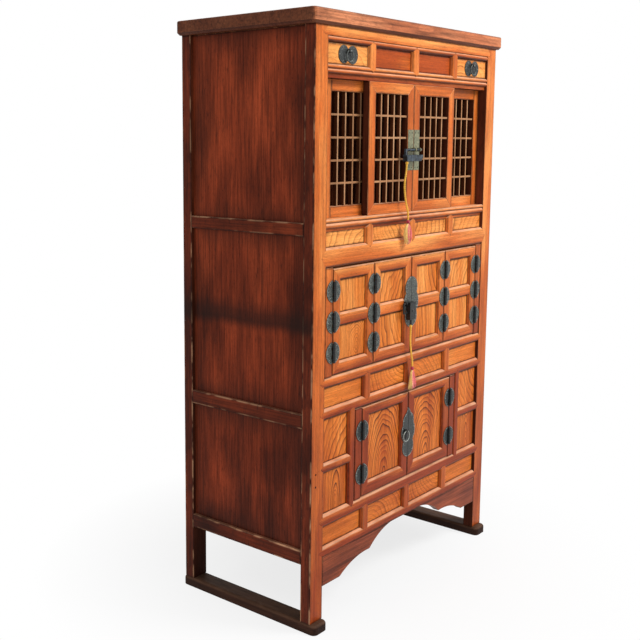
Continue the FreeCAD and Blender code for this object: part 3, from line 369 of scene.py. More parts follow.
def wood(name, tones, line, gloss=0.42, streak=0.5, edge_grime_and_shade=0.5, rub=0.0, shade=0.0, sheen=0.12,
         wear=0.3, fray=0.0, extra=None):
    """tones are the pale, middle and deep colours. The upward highlight is how pale the upward
    rounds are painted, as a painted highlight; shade how dark a wide board's border is, sheen how
    strongly it reflects, wear how pale its arrises are, and fray how pale the long edges of a narrow
    board are."""
    r = Recipe(name)
    turn = r.math("MULTIPLY", r.attribute("seed", "Fac"), 37.0)
    place = r.attribute("grain")
    lines, late, tone = ring_lines(r, place, turn)
    cloud = r.noise(place, (3.5, 14.0, 14.0), 3.0, turn)
    depth = r.math("MULTIPLY_ADD", r.math("SUBTRACT", cloud, 0.5), 1.5, tone)
    depth = r.math("MULTIPLY_ADD", late, 0.22, depth)
    pale, middle, deep = (paint(c) for c in tones)
    colour = r.ramp(depth, (0.0, pale), (0.5, middle), (1.0, deep))
    colour = r.cover(colour, lines, line)
    fibres = r.noise(place, (7.0, 170.0, 170.0), 3.0, turn)
    colour = r.times(colour, r.ramp(fibres, (0.36, 1.08), (0.70, 1 - 0.6 * streak)))
    pores = r.noise(place, (90.0, 1100.0, 1100.0), 1.0, turn)
    colour = r.times(colour, r.ramp(pores, (0.35, 0.72), (0.5, 1.0)))
    nicks = r.noise(place, (190.0, 320.0, 320.0), 2.0, turn)
    colour = r.times(colour, r.ramp(nicks, (0.26, 0.45), (0.33, 1.0)))
    colour, edge = smoke_and_shaded_edges(r, colour, place, turn, cloud, shade, edge_grime_and_shade)
    colour = wear_and_painted_light(r, colour, place, turn, edge, fibres, wear, fray, rub)
    if extra:
        colour = extra(r, colour)
    rough = r.math("MULTIPLY_ADD", fibres, 0.25, gloss - 0.12)
    height = r.math("ADD", r.math("MULTIPLY", lines, -0.5), r.math("MULTIPLY", pores, 0.6))
    r.bump(height, 0.35, 0.0004)
    r.surface(Base_Color=colour, Roughness=rough, Specular_IOR_Level=sheen)
    return r.material


def stained(r, colour):
    """Big patches of old smoke, a paler foot, and a dark tide mark across the middle of the sides."""
    here = r.add("TexCoord").outputs["Object"]
    height = r.split(here)[2]
    smoke = r.noise(here, (6.0, 9.0, 3.5), 5.0, 2.0)
    colour = r.times(colour, r.ramp(smoke, (0.36, 0.50), (0.50, 0.95), (0.66, 1.30)))
    foot = r.ramp(r.math("DIVIDE", height, 2.0), (0.18, 1.60), (0.34, 1.0))
    colour = r.times(colour, foot)
    flecks = r.noise(here, (60.0, 160.0, 34.0), 3.0, 4.0)
    colour = r.cover(colour, r.ramp(flecks, (0.60, 0.0), (0.72, 0.55)), "1a0b07")
    wobble = r.noise(here, (1.0, 9.0, 3.0), 3.0)
    level = r.math("DIVIDE", r.math("MULTIPLY_ADD", wobble, 0.03, height), 2.0)
    mark = r.ramp(level, (0.420, 0.0), (0.432, 0.80), (0.445, 0.70), (0.466, 0.0))
    return r.cover(colour, mark, "1c0f0b")


woods = {
    "wood_frame": wood("oiled_frame_wood", ("fba154", "d16b2a", "903610"), "4e1d0a",
                       gloss=0.36, streak=0.6, edge_grime_and_shade=0.65, rub=0.66, wear=0.5),
    "wood_panel": wood("elm_panel", ("f8a859", "de7a2d", "ac4812"), "4a1a06", edge_grime_and_shade=0.85),
    "wood_side": wood("dark_side_wood", ("b04c2a", "82341b", "4c1d0f"), "220d07",
                      gloss=0.46, streak=0.9, edge_grime_and_shade=0.7, rub=0.14, shade=0.6, sheen=0.08,
                      wear=0.45, fray=0.55, extra=stained),
    "wood_top": wood("top_board_wood", ("d6875c", "bb6c45", "7c3b20"), "3f1a0d",
                     gloss=0.45, streak=1.0, wear=0.8),
    "board_end": wood("board_end_wood", ("ab6643", "8b4a2c", "542717"), "32140a",
                      gloss=0.48, streak=1.0, wear=0.7),
    "wood_apron": wood("apron_wood", ("d87c4a", "b65a33", "773520"), "34140a",
                       gloss=0.40, streak=0.9, edge_grime_and_shade=0.4, wear=0.35),
    "wood_runner": wood("runner_wood", ("6b4a38", "46291c", "26150d"), "170c07",
                        gloss=0.60, streak=0.8, edge_grime_and_shade=0.4, rub=0.08, sheen=0.1, wear=0.5),
    # The inside wood is a dark copy used as painted shade on faces inside the chest, the leaves' backs and the lattice
    # reveals; the pegs' dark ends use it too.
    "wood_inside": wood("inside_wood", ("743923", "522616", "30150c"), "1c0d06",
                        gloss=0.70, edge_grime_and_shade=0.3, sheen=0.05, wear=0.0),
    "wood_lattice": wood("lattice_wood", ("d2a57c", "b58259", "835634"), "5a3119",
                         gloss=0.45, streak=0.8, edge_grime_and_shade=0.1),
    # The bar sides are a darker copy of the lattice wood, as painted shade.
    "bar_side": wood("lattice_bar_side", ("6e3a20", "4e2613", "33170b"), "200c06",
                     gloss=0.55, edge_grime_and_shade=0.2, sheen=0.08),
    "back": wood("back_wood", ("9a6a48", "7b4f35", "54321f"), "38200f",
                 gloss=0.66, streak=0.8, shade=0.4, sheen=0.1),
    "drawer_box": wood("drawer_box_wood", ("d9ae7e", "c08f5e", "946439"), "6d4524",
                       gloss=0.62, streak=0.6, edge_grime_and_shade=0.3),
}
print("woods", len(woods))

# %% [markdown]
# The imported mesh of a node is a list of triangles, board after board. A board is complete when
# its last open edge closes, so walking through the triangles finds every board, even where two
# boards touch. Each one then gets its own coordinates along the grain and a soft arris.

# %% Boards


def corner_key(place):
    """Corners closer than a thousandth of a millimetre count as one."""
    return tuple(round(c / (0.001 * MM)) for c in place)


def boards_of(node):
    """Yields a bmesh for each closed solid of a node."""
    mesh = frame["nodes"][node].data
    keys = [corner_key(v.co) for v in mesh.vertices]
    open_edges = set()
    bm, made = bmesh.new(), {}
    for polygon in mesh.polygons:
        ring = [keys[i] for i in polygon.vertices]
        if len(set(ring)) < 3:
            continue
        for key, index in zip(ring, polygon.vertices):
            if key not in made:
                made[key] = bm.verts.new(mesh.vertices[index].co)
        corners = [made[key] for key in ring]
        if not bm.faces.get(corners):
            bm.faces.new(corners)
        for edge in zip(ring, ring[1:] + ring[:1]):
            if edge[::-1] in open_edges:
                open_edges.discard(edge[::-1])
            else:
                open_edges.add(edge)
        if not open_edges:
            yield bm
            bm, made = bmesh.new(), {}
    if made:
        yield bm
    else:
        bm.free()


def box_of(bm):
    lows = [min(v.co[i] for v in bm.verts) for i in range(3)]
    highs = [max(v.co[i] for v in bm.verts) for i in range(3)]
    return Vector(lows), Vector(highs)


flat_turn = math.radians(0.4)
sharp_turn = math.radians(35)


def rounded(bm, edges, width):
    """Rounds edges, and gives back the faces that this makes."""
    made = bmesh.ops.bevel(bm, geom=edges, offset=width, segments=2, profile=0.5, affect="EDGES",
                           clamp_overlap=True, material=-1)
    return made["faces"]


def soften(bm, width):
    """Joins flat facets, rounds the sharp edges between them and marks what it rounded."""
    bmesh.ops.dissolve_limit(bm, angle_limit=flat_turn, verts=bm.verts, edges=bm.edges)
    edges = [e for e in bm.edges if e.is_manifold and e.calc_face_angle(0) > sharp_turn]
    arris = bm.faces.layers.float.new("arris")
    for face in rounded(bm, edges, width):
        face[arris] = 1


def piece_from(name, parts, materials, body, slot, stands_for=(), sharp=40):
    """Joins bmeshes into one finished piece that rides on a body."""
    whole = bmesh.new()
    for bm in parts:
        part = bpy.data.meshes.new("part")
        bm.to_mesh(part)
        bm.free()
        whole.from_mesh(part)
        bpy.data.meshes.remove(part)
    mesh = bpy.data.meshes.new(name)
    whole.to_mesh(mesh)
    whole.free()
    for material in materials:
        mesh.materials.append(material)
    for polygon in mesh.polygons:
        polygon.use_smooth = True
    mesh.set_sharp_from_angle(angle=math.radians(sharp))
    piece = bpy.data.objects.new(name, mesh)
    scene.collection.objects.link(piece)
    weighted = piece.modifiers.new("even_normals", "WEIGHTED_NORMAL")
    weighted.keep_sharp = True
    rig.ride(piece, body)
    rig.slot(piece, slot)
    if stands_for:
        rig.replaces(piece, *stands_for)
    return piece


# %% [markdown]
# Each board was chosen for its figure. The door panels are cut flat, so they show tall
# flames. The small panels of the strips come from offcuts, with slanting lines and fans. Here each
# figure says how wide its rings are in millimetres, how the heart line leans, where that line
# meets the board as shares of its half length and half width, and how dark the ring lines are.

# %% Figures
figures = {
    "flame": (9.0, 0.46, -1.05, 0.05, 1.35),
    "low flame": (8.5, 0.42, -1.2, -0.1, 1.35),
    "narrow flame": (6.0, 0.27, -1.1, 0.15, 1.35),
    "slant": (19.0, 0.85, -2.0, 2.0, 0.88),
    "counter slant": (17.0, 0.8, 1.9, 1.9, 0.88),
    "fan": (12.0, 0.75, -1.0, -1.9, 0.62),
    "counter fan": (12.0, 0.8, 1.1, 1.8, 0.60),
    "swirl": (17.0, 0.6, 1.2, -1.3, 0.66),
    "wave": (16.0, 0.4, -1.1, -1.7, 0.60),
    "broad wave": (19.0, 0.55, 1.5, 1.6, 0.78),
    "knot": (5.0, 0.62, -0.35, 0.35, 0.78),
    "plain": (6.0, 0.05, 0.0, 5.0, 0.34),
    "straight": (4.5, 0.03, 0.0, 9.0, 0.30),
}
panel_rows = (
    ("plain", "plain"),
    ("swirl", "counter fan", "slant", "swirl"),
    ("plain", "counter fan", "fan", "plain"),
    ("slant", "counter slant"),
    ("narrow flame", "narrow flame"),
    ("plain", "fan", "counter fan", "plain"),
)
leaf_figures = {
    "fold_outer_left": ("wave", "knot"),
    "fold_inner_left": ("slant", "broad wave"),
    "fold_inner_right": ("broad wave", "wave"),
    "fold_outer_right": ("slant", "wave"),
    "lower_door_left": ("flame",),
    "lower_door_right": ("low flame",),
}


# %% [markdown]
# The wood's tone changes with height: it is palest near the top and reddest near the
# floor, and the leaves' frames and the rails are redder than the panels between them.

# %% Tones
tone_levels = ((0.0, 0.80), (0.32, 0.72), (0.60, 0.62), (0.71, 0.57), (0.78, 0.42), (1.05, 0.26),
               (1.65, 0.30))
tone_changes = {"rail_1": 0.16, "rail_2": 0.26, "rail_3": 0.24, "rail_4": 0.06, "rail": 0.16,
                "lower_door": 0.24, "fold": 0.14, "lattice": 0.16, "front_uprights": 0.10, "bay": 0.16}
panel_change = -0.08
drawer_front_change = -0.05
jamb_change = 0.26
drawer_row_change = 0.85


def tone_at(height):
    """The tone of the wood at a height."""
    for (low, a), (high, b) in zip(tone_levels, tone_levels[1:]):
        if height <= high:
            return a + (b - a) * (height - low) / (high - low)
    return tone_levels[-1][1]


def change_for(node):
    """How much redder a node's boards are than the rest of its level."""
    fits = [key for key in tone_changes if node.startswith(key)]
    return tone_changes[max(fits, key=len)] if fits else 0.0


def lay_grain(bm, along, seed, figure, change, hidden=0.0, roll=0.0):
    """Stores on each corner what the wood recipe reads. hidden is the edge that a groove covers,
    and the rail shading is how much deeper the board's lower half is painted than its middle, with
    the upper half paler: painted shade below and painted light above."""
    ring, lean, heart_along, heart_across, strength = figures[figure]
    low, high = box_of(bm)
    size = high - low
    rest = sorted((i for i in range(3) if i != along), key=lambda i: -size[i])
    axes = (along, rest[0], rest[1])
    middle = (low + high) / 2
    halves = Vector([size[a] / 2 - hidden for a in axes])
    heart = Vector((heart_along * halves[0], heart_across * halves[1], lean))
    names = ("grain", "half", "heart", "rings")
    vectors = {name: bm.verts.layers.float_vector.new(name) for name in names}
    seeds = bm.verts.layers.float.new("seed")
    for v in bm.verts:
        v[vectors["grain"]] = Vector([v.co[a] - middle[a] for a in axes])
        v[vectors["half"]] = halves
        v[vectors["heart"]] = heart
        # Painted light and shade: a rail's upper half is paled and its lower half deepened.
        below = 2 * (middle.z - v.co.z) / size.z
        v[vectors["rings"]] = Vector((ring * MM, strength, tone_at(v.co.z) + change + roll * below))
        v[seeds] = seed


# %% [markdown]
# One function dresses every wooden node. Faces that look out at the sides of the chest take the
# dark stain. Faces that look inwards, the sides of the lattice frames and the sides of the lattice
# bars take dull dark woods, as painted shade.

# %% Dress the boards
out_of_sight = 0.7
far_inwards = -0.2
row_gap = 10 * MM
panel_groove = 4 * MM
thin = 9 * MM
drawer_front_height = 50 * MM
tall_panel = 100 * MM
tall_upright = 200 * MM
lower_doors_top = 0.6
side_margin = 1.5 * MM
wide_arris = {"top_board": 2.2, "runner_left": 2.0, "runner_right": 2.0, "apron": 1.5}
plain_arris = 0.9
leaves = set(leaf_figures)
light_and_shade_rail_height = 90 * MM
roll = 0.36
side_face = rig.box("post_front_right")[1].x


def finishes(node):
    """The woods of a node: the first is the usual one."""
    slot = slot_of[node]
    if node in leaves:
        return [woods["wood_frame"], woods["wood_panel"], woods["wood_inside"]]
    if node.startswith("lattice_bars"):
        return [woods["bar_side"], woods["wood_lattice"]]
    if node.startswith("drawer_"):
        return [woods["drawer_box"], woods["wood_panel"]]
    if node.startswith(("back_", "posts_back")):
        return [woods["back"], woods["wood_inside"], woods["wood_side"]]
    if node == "top_board":
        return [woods["wood_top"], woods["board_end"]]
    return [woods[slot], woods["wood_inside"], woods["wood_side"]]


def finish_index(node, face, size):
    """Which of the node's woods a face shows."""
    normal = face.normal
    middle = face.calc_center_median()
    # Faces that look inwards take the dark inside wood, as painted shade.
    inwards = normal.y > out_of_sight or middle.x * normal.x < far_inwards
    if node in leaves:
        return 2 if normal.y > out_of_sight else int(size.y < thin)
    # The lattice bars' faces that don't look to the front take the darker bar wood, as painted shade.
    if node.startswith("lattice_bars"):
        return int(normal.y < -out_of_sight)
    # The lattice frames' sides and backs take the dark inside wood, as painted shade.
    if node.startswith("lattice_frame"):
        return int(abs(normal.x) > out_of_sight or normal.y > out_of_sight)
    if node.startswith("drawer_"):
        return int(size.z > drawer_front_height)
    if node == "top_board":
        return int(abs(normal.x) > out_of_sight)
    if node.startswith(("post", "back_")):
        if abs(middle.x) > side_face - side_margin:
            return 2
        return int(inwards if node.startswith("post_front") else normal.y < -out_of_sight)
    if node.startswith(("rail", "front", "side_panels")):
        return int(inwards and not node.startswith("front_uprights"))
    return 0


def rail_light_and_shade_of(node, along, size):
    """Rails are painted pale above and dark below, as painted light and shade. Panels and uprights are even."""
    is_rail = node.startswith(("rail", "bay")) or node in leaves
    is_level = along == 0 and thin < size.z < light_and_shade_rail_height and size.y > thin
    return roll if is_rail and is_level else 0.0


def panel_figure(middle, rows):
    """The figure of a front panel, read off the rows from the top and from the left."""
    row = next(row for row in rows if abs(row[0].z - middle.z) < row_gap)
    column = sorted(row, key=lambda p: p.x).index(middle)
    return panel_rows[rows.index(row)][column]


def rows_of(middles):
    """Groups panel centres into rows, from the top down."""
    rows = []
    for middle in sorted(middles, key=lambda p: -p.z):
        if rows and abs(rows[-1][0].z - middle.z) < row_gap:
            rows[-1].append(middle)
        else:
            rows.append([middle])
    return rows


def dress_boards(node):
    """A node's boards, with grain along their length and soft edges."""
    draw = random.Random(node)
    boards = list(boards_of(node))
    boxes = [box_of(bm) for bm in boards]
    middles = [(low + high) / 2 for low, high in boxes]
    rows = rows_of(middles) if node == "front_panels" else []
    thin_levels = [m.z for m, (low, high) in zip(middles, boxes) if high.y - low.y < thin]
    leaf_panels = sorted(thin_levels, reverse=True)
    for bm, (low, high), middle in zip(boards, boxes, middles):
        size = high - low
        along = max(range(3), key=lambda i: size[i])
        figure, change, hidden = "straight", change_for(node), 0.0
        if node == "front_panels":
            figure, change, hidden = panel_figure(middle, rows), panel_change, panel_groove
            change += drawer_row_change if middle in rows[0] else 0
            along = 2 if size.z > tall_panel else 0
        elif node in leaves and size.y < thin:
            figure = leaf_figures[node][leaf_panels.index(middle.z)]
            change, hidden, along = panel_change, panel_groove, 2
        elif node in ("side_panels", "back_panels"):
            figure, along = "plain", 2
        elif node == "front_uprights" and size.z > tall_upright:
            change += jamb_change if middle.z < lower_doors_top else 0
        elif node in ("top_board", "apron"):
            figure = "plain"
        elif node.startswith("drawer_") and size.z > drawer_front_height:
            figure, change = "wave", drawer_front_change
        soften(bm, wide_arris.get(node, plain_arris) * MM)
        lay_grain(bm, along, draw.random(), figure, change, hidden, rail_light_and_shade_of(node, along, size))
        bm.normal_update()
        for face in bm.faces:
            face.material_index = finish_index(node, face, size)
    return piece_from("dressed_" + node, boards, finishes(node), body_of[node], slot_of[node], [node])


for node in frame["nodes"]:
    if slot_of[node].startswith("wood"):
        dress_boards(node)
print("dressed", len(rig.pieces()))

# %% [markdown]
# Two pegs pin the lowest part of the left front post. Each is a dark round end, a hair proud.

# %% Pegs
peg_x = -469 * MM
peg_levels = (452 * MM, 416.5 * MM)
to_the_front = Vector((0, 0, 1)).rotation_difference(Vector((0, -1, 0))).to_matrix().to_4x4()


def domed(bm, place, radius, share=0.55):
    """A low round head that sits on a face and looks to the front."""
    shape = Matrix.Translation(place) @ to_the_front @ Matrix.Diagonal((1, 1, share, 1))
    bmesh.ops.create_uvsphere(bm, u_segments=12, v_segments=6, radius=radius, matrix=shape)


pegs = bmesh.new()
for height in peg_levels:
    domed(pegs, Vector((peg_x, front, height)), 3.2 * MM, 0.2)
lay_grain(pegs, 1, 0.3, "plain", 0.0)
piece_from("post_pegs", [pegs], [woods["wood_inside"]], body_of["post_front_left"], "wood_frame")

# %% [markdown]
# The fittings are blackened iron: thin plates cut with shears, hammered flat and blackened with
# oil over a fire. The finish is nearly matt, with a faint hammered bump. Rims and rings that hands
# touch are rubbed brighter, and the knuckles between them are painted black, as painted shade.

# %% Iron and the grey plates


def metal(name, base, worn, rough, metallic, mottle=110.0, rust="5a4a3c"):
    r = Recipe(name)
    here = r.add("TexCoord").outputs["Object"]
    cloud = r.noise(here, (mottle,) * 3, 3.0)
    speck = r.noise(here, (mottle * 4,) * 3, 2.0)
    colour = r.mix(r.ramp(cloud, (0.38, 0.0), (0.62, 1.0)), paint(base), paint(worn))
    colour = r.cover(colour, r.ramp(speck, (0.58, 0.0), (0.70, 0.35)), rust)
    r.bump(r.math("ADD", cloud, r.math("MULTIPLY", speck, 0.3)), 0.6, 0.0010)
    uneven = r.math("MULTIPLY_ADD", cloud, 0.3, rough - 0.15)
    r.surface(Base_Color=colour, Metallic=metallic, Roughness=uneven)
    return r.material


irons = {
    "iron": metal("blackened_iron", "1e2222", "5b605a", 0.46, 0.30, 240.0),
    "dark_iron": metal("dark_iron", "101314", "353a39", 0.42, 0.30, 240.0),
    # The black iron is the own colour of the fold padlock, the knob and the dark nails, and painted shade on the hinge
    # knuckles.
    "black": metal("black_knuckles", "0d0e0e", "1c1e1d", 0.42, 0.30, 240.0),
    "rubbed": metal("rubbed_iron", "5f645f", "a2a69f", 0.34, 0.50, 240.0),
    "grey_plate": metal("tarnished_plate", "676852", "8b8a6c", 0.45, 0.50, 160.0, "3f3d2c"),
    "blue": metal("lock_iron", "262d33", "48535c", 0.34, 0.60),
}


def line_tubes(lines, radius, sides=2):
    """A bmesh of round tubes along lists of points."""
    curve = bpy.data.curves.new("tubes", "CURVE")
    curve.dimensions = "3D"
    curve.bevel_depth = radius
    curve.bevel_resolution = sides
    curve.use_fill_caps = True
    for line in lines:
        spline = curve.splines.new("POLY")
        spline.points.add(len(line) - 1)
        for point, place in zip(spline.points, line):
            point.co = (*place[:3], 1)
            point.radius = place[3] if len(place) > 3 else 1
    source = bpy.data.objects.new("tubes", curve)
    mesh = bpy.data.meshes.new_from_object(source)
    bm = bmesh.new()
    bm.from_mesh(mesh)
    bmesh.ops.remove_doubles(bm, verts=bm.verts, dist=0.0001 * MM)
    bmesh.ops.recalc_face_normals(bm, faces=bm.faces)
    bpy.data.objects.remove(source)
    bpy.data.meshes.remove(mesh)
    return bm


def tinted(bm, index):
    """Gives every face of a bmesh one of its piece's materials."""
    for face in bm.faces:
        face.material_index = index
    return bm


rubbed_levels = (0.65, 1.50)
nail_radius = 1.3 * MM
rim_radius = 0.75 * MM


def dress_iron(node, heads=(), rims=(), arris=0.3, extra=(), knuckle_shade_from=None):
    """A node's fittings with soft edges, nail heads and rims. Faces in front of the given knuckle
    level are painted black, as painted shade, and outside the rubbed levels the iron is darker."""
    slot = slot_of[node]
    parts = []
    for bm in boards_of(node):
        soften(bm, arris * MM)
        for face in bm.faces:
            place = face.calc_center_median()
            # Painted shade: faces of the knuckles in front of the given level take the black iron.
            if knuckle_shade_from is not None and place.y < knuckle_shade_from:
                face.material_index = 2
            elif not rubbed_levels[0] < place.z < rubbed_levels[1]:
                face.material_index = 3
        parts.append(bm)
    nails = bmesh.new()
    for place in heads:
        domed(nails, place, nail_radius)
    parts.append(tinted(nails, 1))
    if rims:
        parts.append(tinted(line_tubes(rims, rim_radius), 1))
    parts += list(extra)
    materials = [irons[slot], irons["rubbed"], irons["black"], irons["dark_iron"]]
    return piece_from("dressed_" + node, parts, materials, body_of[node], slot, [node])


# %% [markdown]
# A round hinge is two half discs that meet at a knuckled barrel. Each half has a raised rim and
# three nails. The rim follows the disc's own radius, which is how far a half reaches from its seam.

# %% Hinges
leaf_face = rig.box("fold_inner_left")[0].y
hinge_front = leaf_face - 1.8 * MM
lock_front = leaf_face - 1.6 * MM
knuckle_front = hinge_front - 0.5 * MM
half_disc_height = (60 * MM, 64 * MM)
rim_inset = 1.5 * MM
rim_turn = 72
hinge_nail_turn = 48
hinge_nail_reach = 24 * MM
hinge_seams = [joints[n]["pos_m"][0] for n in joints if n.startswith(("fold_", "lower_"))]


def around(centre, radius, start, end, steps=24):
    """Points on an upright circle that faces the front, between two turns in degrees."""
    points = []
    for step in range(steps + 1):
        a = math.radians(start + (end - start) * step / steps)
        points.append(centre + Vector((radius * math.cos(a), 0, radius * math.sin(a))))
    return points


def hinge_trim(node):
    """The nail places and the rims of a node's half discs."""
    heads, rims = [], []
    for bm in boards_of(node):
        low, high = box_of(bm)
        bm.free()
        if not half_disc_height[0] < high.z - low.z < half_disc_height[1]:
            continue
        middle = (low + high) / 2
        seam = min(hinge_seams, key=lambda x: abs(x - middle.x))
        centre = Vector((seam, hinge_front, middle.z))
        ahead = 0 if middle.x > seam else 180
        radius = max(seam - low.x, high.x - seam) - rim_inset
        rims.append(around(centre, radius, ahead - rim_turn, ahead + rim_turn))
        heads += around(centre, hinge_nail_reach, ahead - hinge_nail_turn, ahead + hinge_nail_turn, 2)
    return heads, rims


for node in frame["nodes"]:
    if node == "hinges_fixed" or node.startswith("fold_outer_iron"):
        heads, rims = hinge_trim(node)
        dress_iron(node, heads, rims, knuckle_shade_from=knuckle_front)
print("outer hinges", len(hinge_seams))

# %% [markdown]
# The lock plates are unions of discs, and the lower one also has a point. To run a rim round such
# a plate, each disc's circle is drawn a little inside its edge, and only the stretch that lies
# outside its neighbours is kept.

# %% Lock plates
fold_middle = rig.box("fold_inner_left")[0].z - 3 * MM + 159 * MM
fold_lobes = ((40, 0), (33, 44), (33, -44))
door_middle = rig.box("lower_door_left")[0].z - 2 * MM + 143 * MM
door_lobes = ((38, 0), (31, 30), (31, -48))
point_half, point_foot, point_top = 22 * MM, 41 * MM, 78 * MM
seam_clear = 2.4 * MM


def in_point(place, middle):
    """Whether a place lies in the pointed top of the lower plate, drawn in by the rim's inset."""
    rise = place.z - middle - point_foot
    reach = (point_half - rim_inset) * (1 - rise / (point_top - point_foot - 2 * rim_inset))
    return rise > 0 and abs(place.x) < reach


def plate_rims(lobes, middle, side, pointed):
    """The rim lines of one half plate: side is -1 for the left half."""
    lines = []
    for index, (radius, rise) in enumerate(lobes):
        run = []
        centre = Vector((0, lock_front, middle + rise * MM))
        for place in around(centre, radius * MM - rim_inset, -90, 270, 120):
            covered = any(
                math.hypot(place.x, place.z - middle - r2 * MM) < r1 * MM - rim_inset
                for j, (r1, r2) in enumerate(lobes) if j != index)
            covered = covered or place.x * side < seam_clear or (pointed and in_point(place, middle))
            if covered and len(run) > 2:
                lines.append(run)
            run = [] if covered else run + [place]
        if len(run) > 2:
            lines.append(run)
    if pointed:
        foot = Vector((side * (point_half - 3 * rim_inset), lock_front, middle + point_foot + 8 * MM))
        tip = Vector((side * seam_clear, lock_front, middle + point_top - 4 * rim_inset))
        lines.append([foot, tip])
    return lines


def nails_along(lines, inset, gap):
    """Nail places at steady gaps just inside rim lines."""
    places = []
    for line in lines:
        run = gap / 2
        for a, b in zip(line, line[1:]):
            run += (b - a).length
            if run > gap:
                run = 0
                inward = Vector((0, -1, 0)).cross(b - a).normalized()
                places.append(b + inward * inset)
    return places


for side_name, side in (("left", -1), ("right", 1)):
    for node, lobes, middle, pointed in (("fold_inner_iron_", fold_lobes, fold_middle, False),
                                         ("lower_door_iron_", door_lobes, door_middle, True)):
        heads, rims = hinge_trim(node + side_name)
        plate_lines = plate_rims(lobes, middle, side, pointed)
        nails = [p for p in nails_along(plate_lines, 4.5 * MM, 17 * MM)
                 if p.x * side > 5 * MM and abs(p.x) < 40 * MM]
        dress_iron(node + side_name, heads + nails, rims + plate_lines, knuckle_shade_from=knuckle_front)
print("hinges and lock plates")

# %% [markdown]
# Small castings and forgings finish the set: a domed knob inside the ring, a drop handle that
# swells towards its foot, collars on the upper padlock and bands on the lower one.

# %% Ring, knob and drop handles


def turned(profile, centre):
    """A round form that faces the front: the profile is (radius, distance in front) in mm."""
    bm = bmesh.new()
    verts = [bm.verts.new(centre + Vector((radius * MM, -out * MM, 0))) for radius, out in profile]
    edges = [bm.edges.new(pair) for pair in zip(verts, verts[1:])]
    bmesh.ops.spin(bm, geom=verts + edges, cent=centre, axis=(0, 1, 0), angle=math.tau, steps=32,
                   use_merge=True)
    bmesh.ops.remove_doubles(bm, verts=bm.verts, dist=0.01 * MM)
    bmesh.ops.recalc_face_normals(bm, faces=bm.faces)
    return bm


ring_low, ring_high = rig.box("ring_pull")
ring_centre = (ring_low + ring_high) / 2
knob_foot = Vector((ring_centre.x, lock_front, ring_centre.z))
knob_profile = ((0.0, 9.4), (4.0, 9.1), (7.2, 8.4), (9.3, 7.3), (9.9, 5.6), (9.5, 3.2), (10.8, 2.0),
                (11.3, 0.9), (11.3, 0.0), (0.0, 0.0))
piece_from("ring_knob", [turned(knob_profile, knob_foot)], [irons["black"]], "lower_door_left", "iron")
wire = 2.0 * MM
ring_wire = line_tubes([around(ring_centre, 16 * MM, -90, 270, 48)], wire, 3)
piece_from("dressed_ring_pull", [ring_wire], [irons["rubbed"]], "ring_pull", "iron", ["ring_pull"])
bail_radius = 15 * MM
bail_drop = Vector((0, 0, 13 * MM))
bail_opening = 30

for side_name in ("left", "right"):
    node = "bail_" + side_name
    pivot = Vector(joints[node + "_swing"]["pos_m"])
    centre = pivot - bail_drop
    line = [(pivot.x - 1.5 * MM, pivot.y, pivot.z, 0.75)]
    for place in around(centre, bail_radius, 90 + bail_opening, 450 - bail_opening, 40):
        sink = (centre.z - place.z) / bail_radius
        line.append((*place, 0.85 + 0.35 * max(0, sink)))
    line.append((pivot.x + 1.5 * MM, pivot.y, pivot.z, 0.75))
    bead = bmesh.new()
    foot = Matrix.Translation(centre - Vector((0, 0, bail_radius)))
    bmesh.ops.create_uvsphere(bead, u_segments=16, v_segments=10, radius=3.3 * MM, matrix=foot)
    parts = [line_tubes([line], wire, 3), bead]
    piece_from("dressed_" + node, parts, [irons["iron"]], node, "iron", [node])

    plate = "pull_plate_" + side_name
    low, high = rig.box(plate)
    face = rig.box("drawer_" + side_name)[0].y - 1.6 * MM
    centre = Vector(((low.x + high.x) / 2, face, (low.z + high.z) / 2))
    rims = []
    for way in (-1, 1):
        lobe = centre + Vector((way * 20 * MM, 0, 0))
        ahead = 0 if way > 0 else 180
        rims.append(around(lobe, 22.4 * MM, ahead - 142, ahead + 142, 48))
        rims.append(around(lobe, 15.5 * MM, ahead - 118, ahead + 118, 40))
    heads = [centre + Vector((x * MM, 0, z * MM)) for x in (-24, 24) for z in (-18, 18)]
    heads += [centre + Vector((x * MM, 0, 0)) for x in (-39, 39)]
    heads.append(Vector((pivot.x, low.y, pivot.z)))
    dress_iron(plate, heads, arris=0.4, extra=[tinted(line_tubes(rims, 0.55 * MM), 0)])
print("ring, knob and handles", len(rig.pieces()))

# %% [markdown]
# The padlocks are plain blocks and bars in the model. Here they get bands, fitted round the
# blocks' own faces, and collars on the upper lock's bar. The bar has none right of the
# seam, because the right leaf's eye slides off that end.

# %% Padlocks and straight plates


def band(low, high, grow):
    """A block that stands a little proud all round, with soft edges."""
    size = high - low + Vector((grow, grow, grow)) * 2
    bm = bmesh.new()
    shape = Matrix.Translation((low + high) / 2) @ Matrix.Diagonal((*size, 1))
    bmesh.ops.create_cube(bm, size=1, matrix=shape)
    rounded(bm, bm.edges[:], 0.5 * MM)
    return bm


def collar(centre, radius, width):
    """A short thick ring round a bar that runs from left to right."""
    bm = bmesh.new()
    turn = Matrix.Rotation(math.pi / 2, 4, "Y")
    bmesh.ops.create_cone(bm, cap_ends=True, segments=24, radius1=radius, radius2=radius, depth=width,
                          matrix=Matrix.Translation(centre) @ turn)
    edges = [e for e in bm.edges if e.calc_face_angle(0) > 1]
    rounded(bm, edges, 0.7 * MM)
    return bm


def dress_lock(node, trim, iron):
    """A padlock's blocks with soft edges, and its trim."""
    parts = list(boards_of(node))
    for bm in parts:
        soften(bm, 1.2 * MM)
    piece_from("dressed_" + node, parts + trim, [irons[iron]], node, "iron", [node])


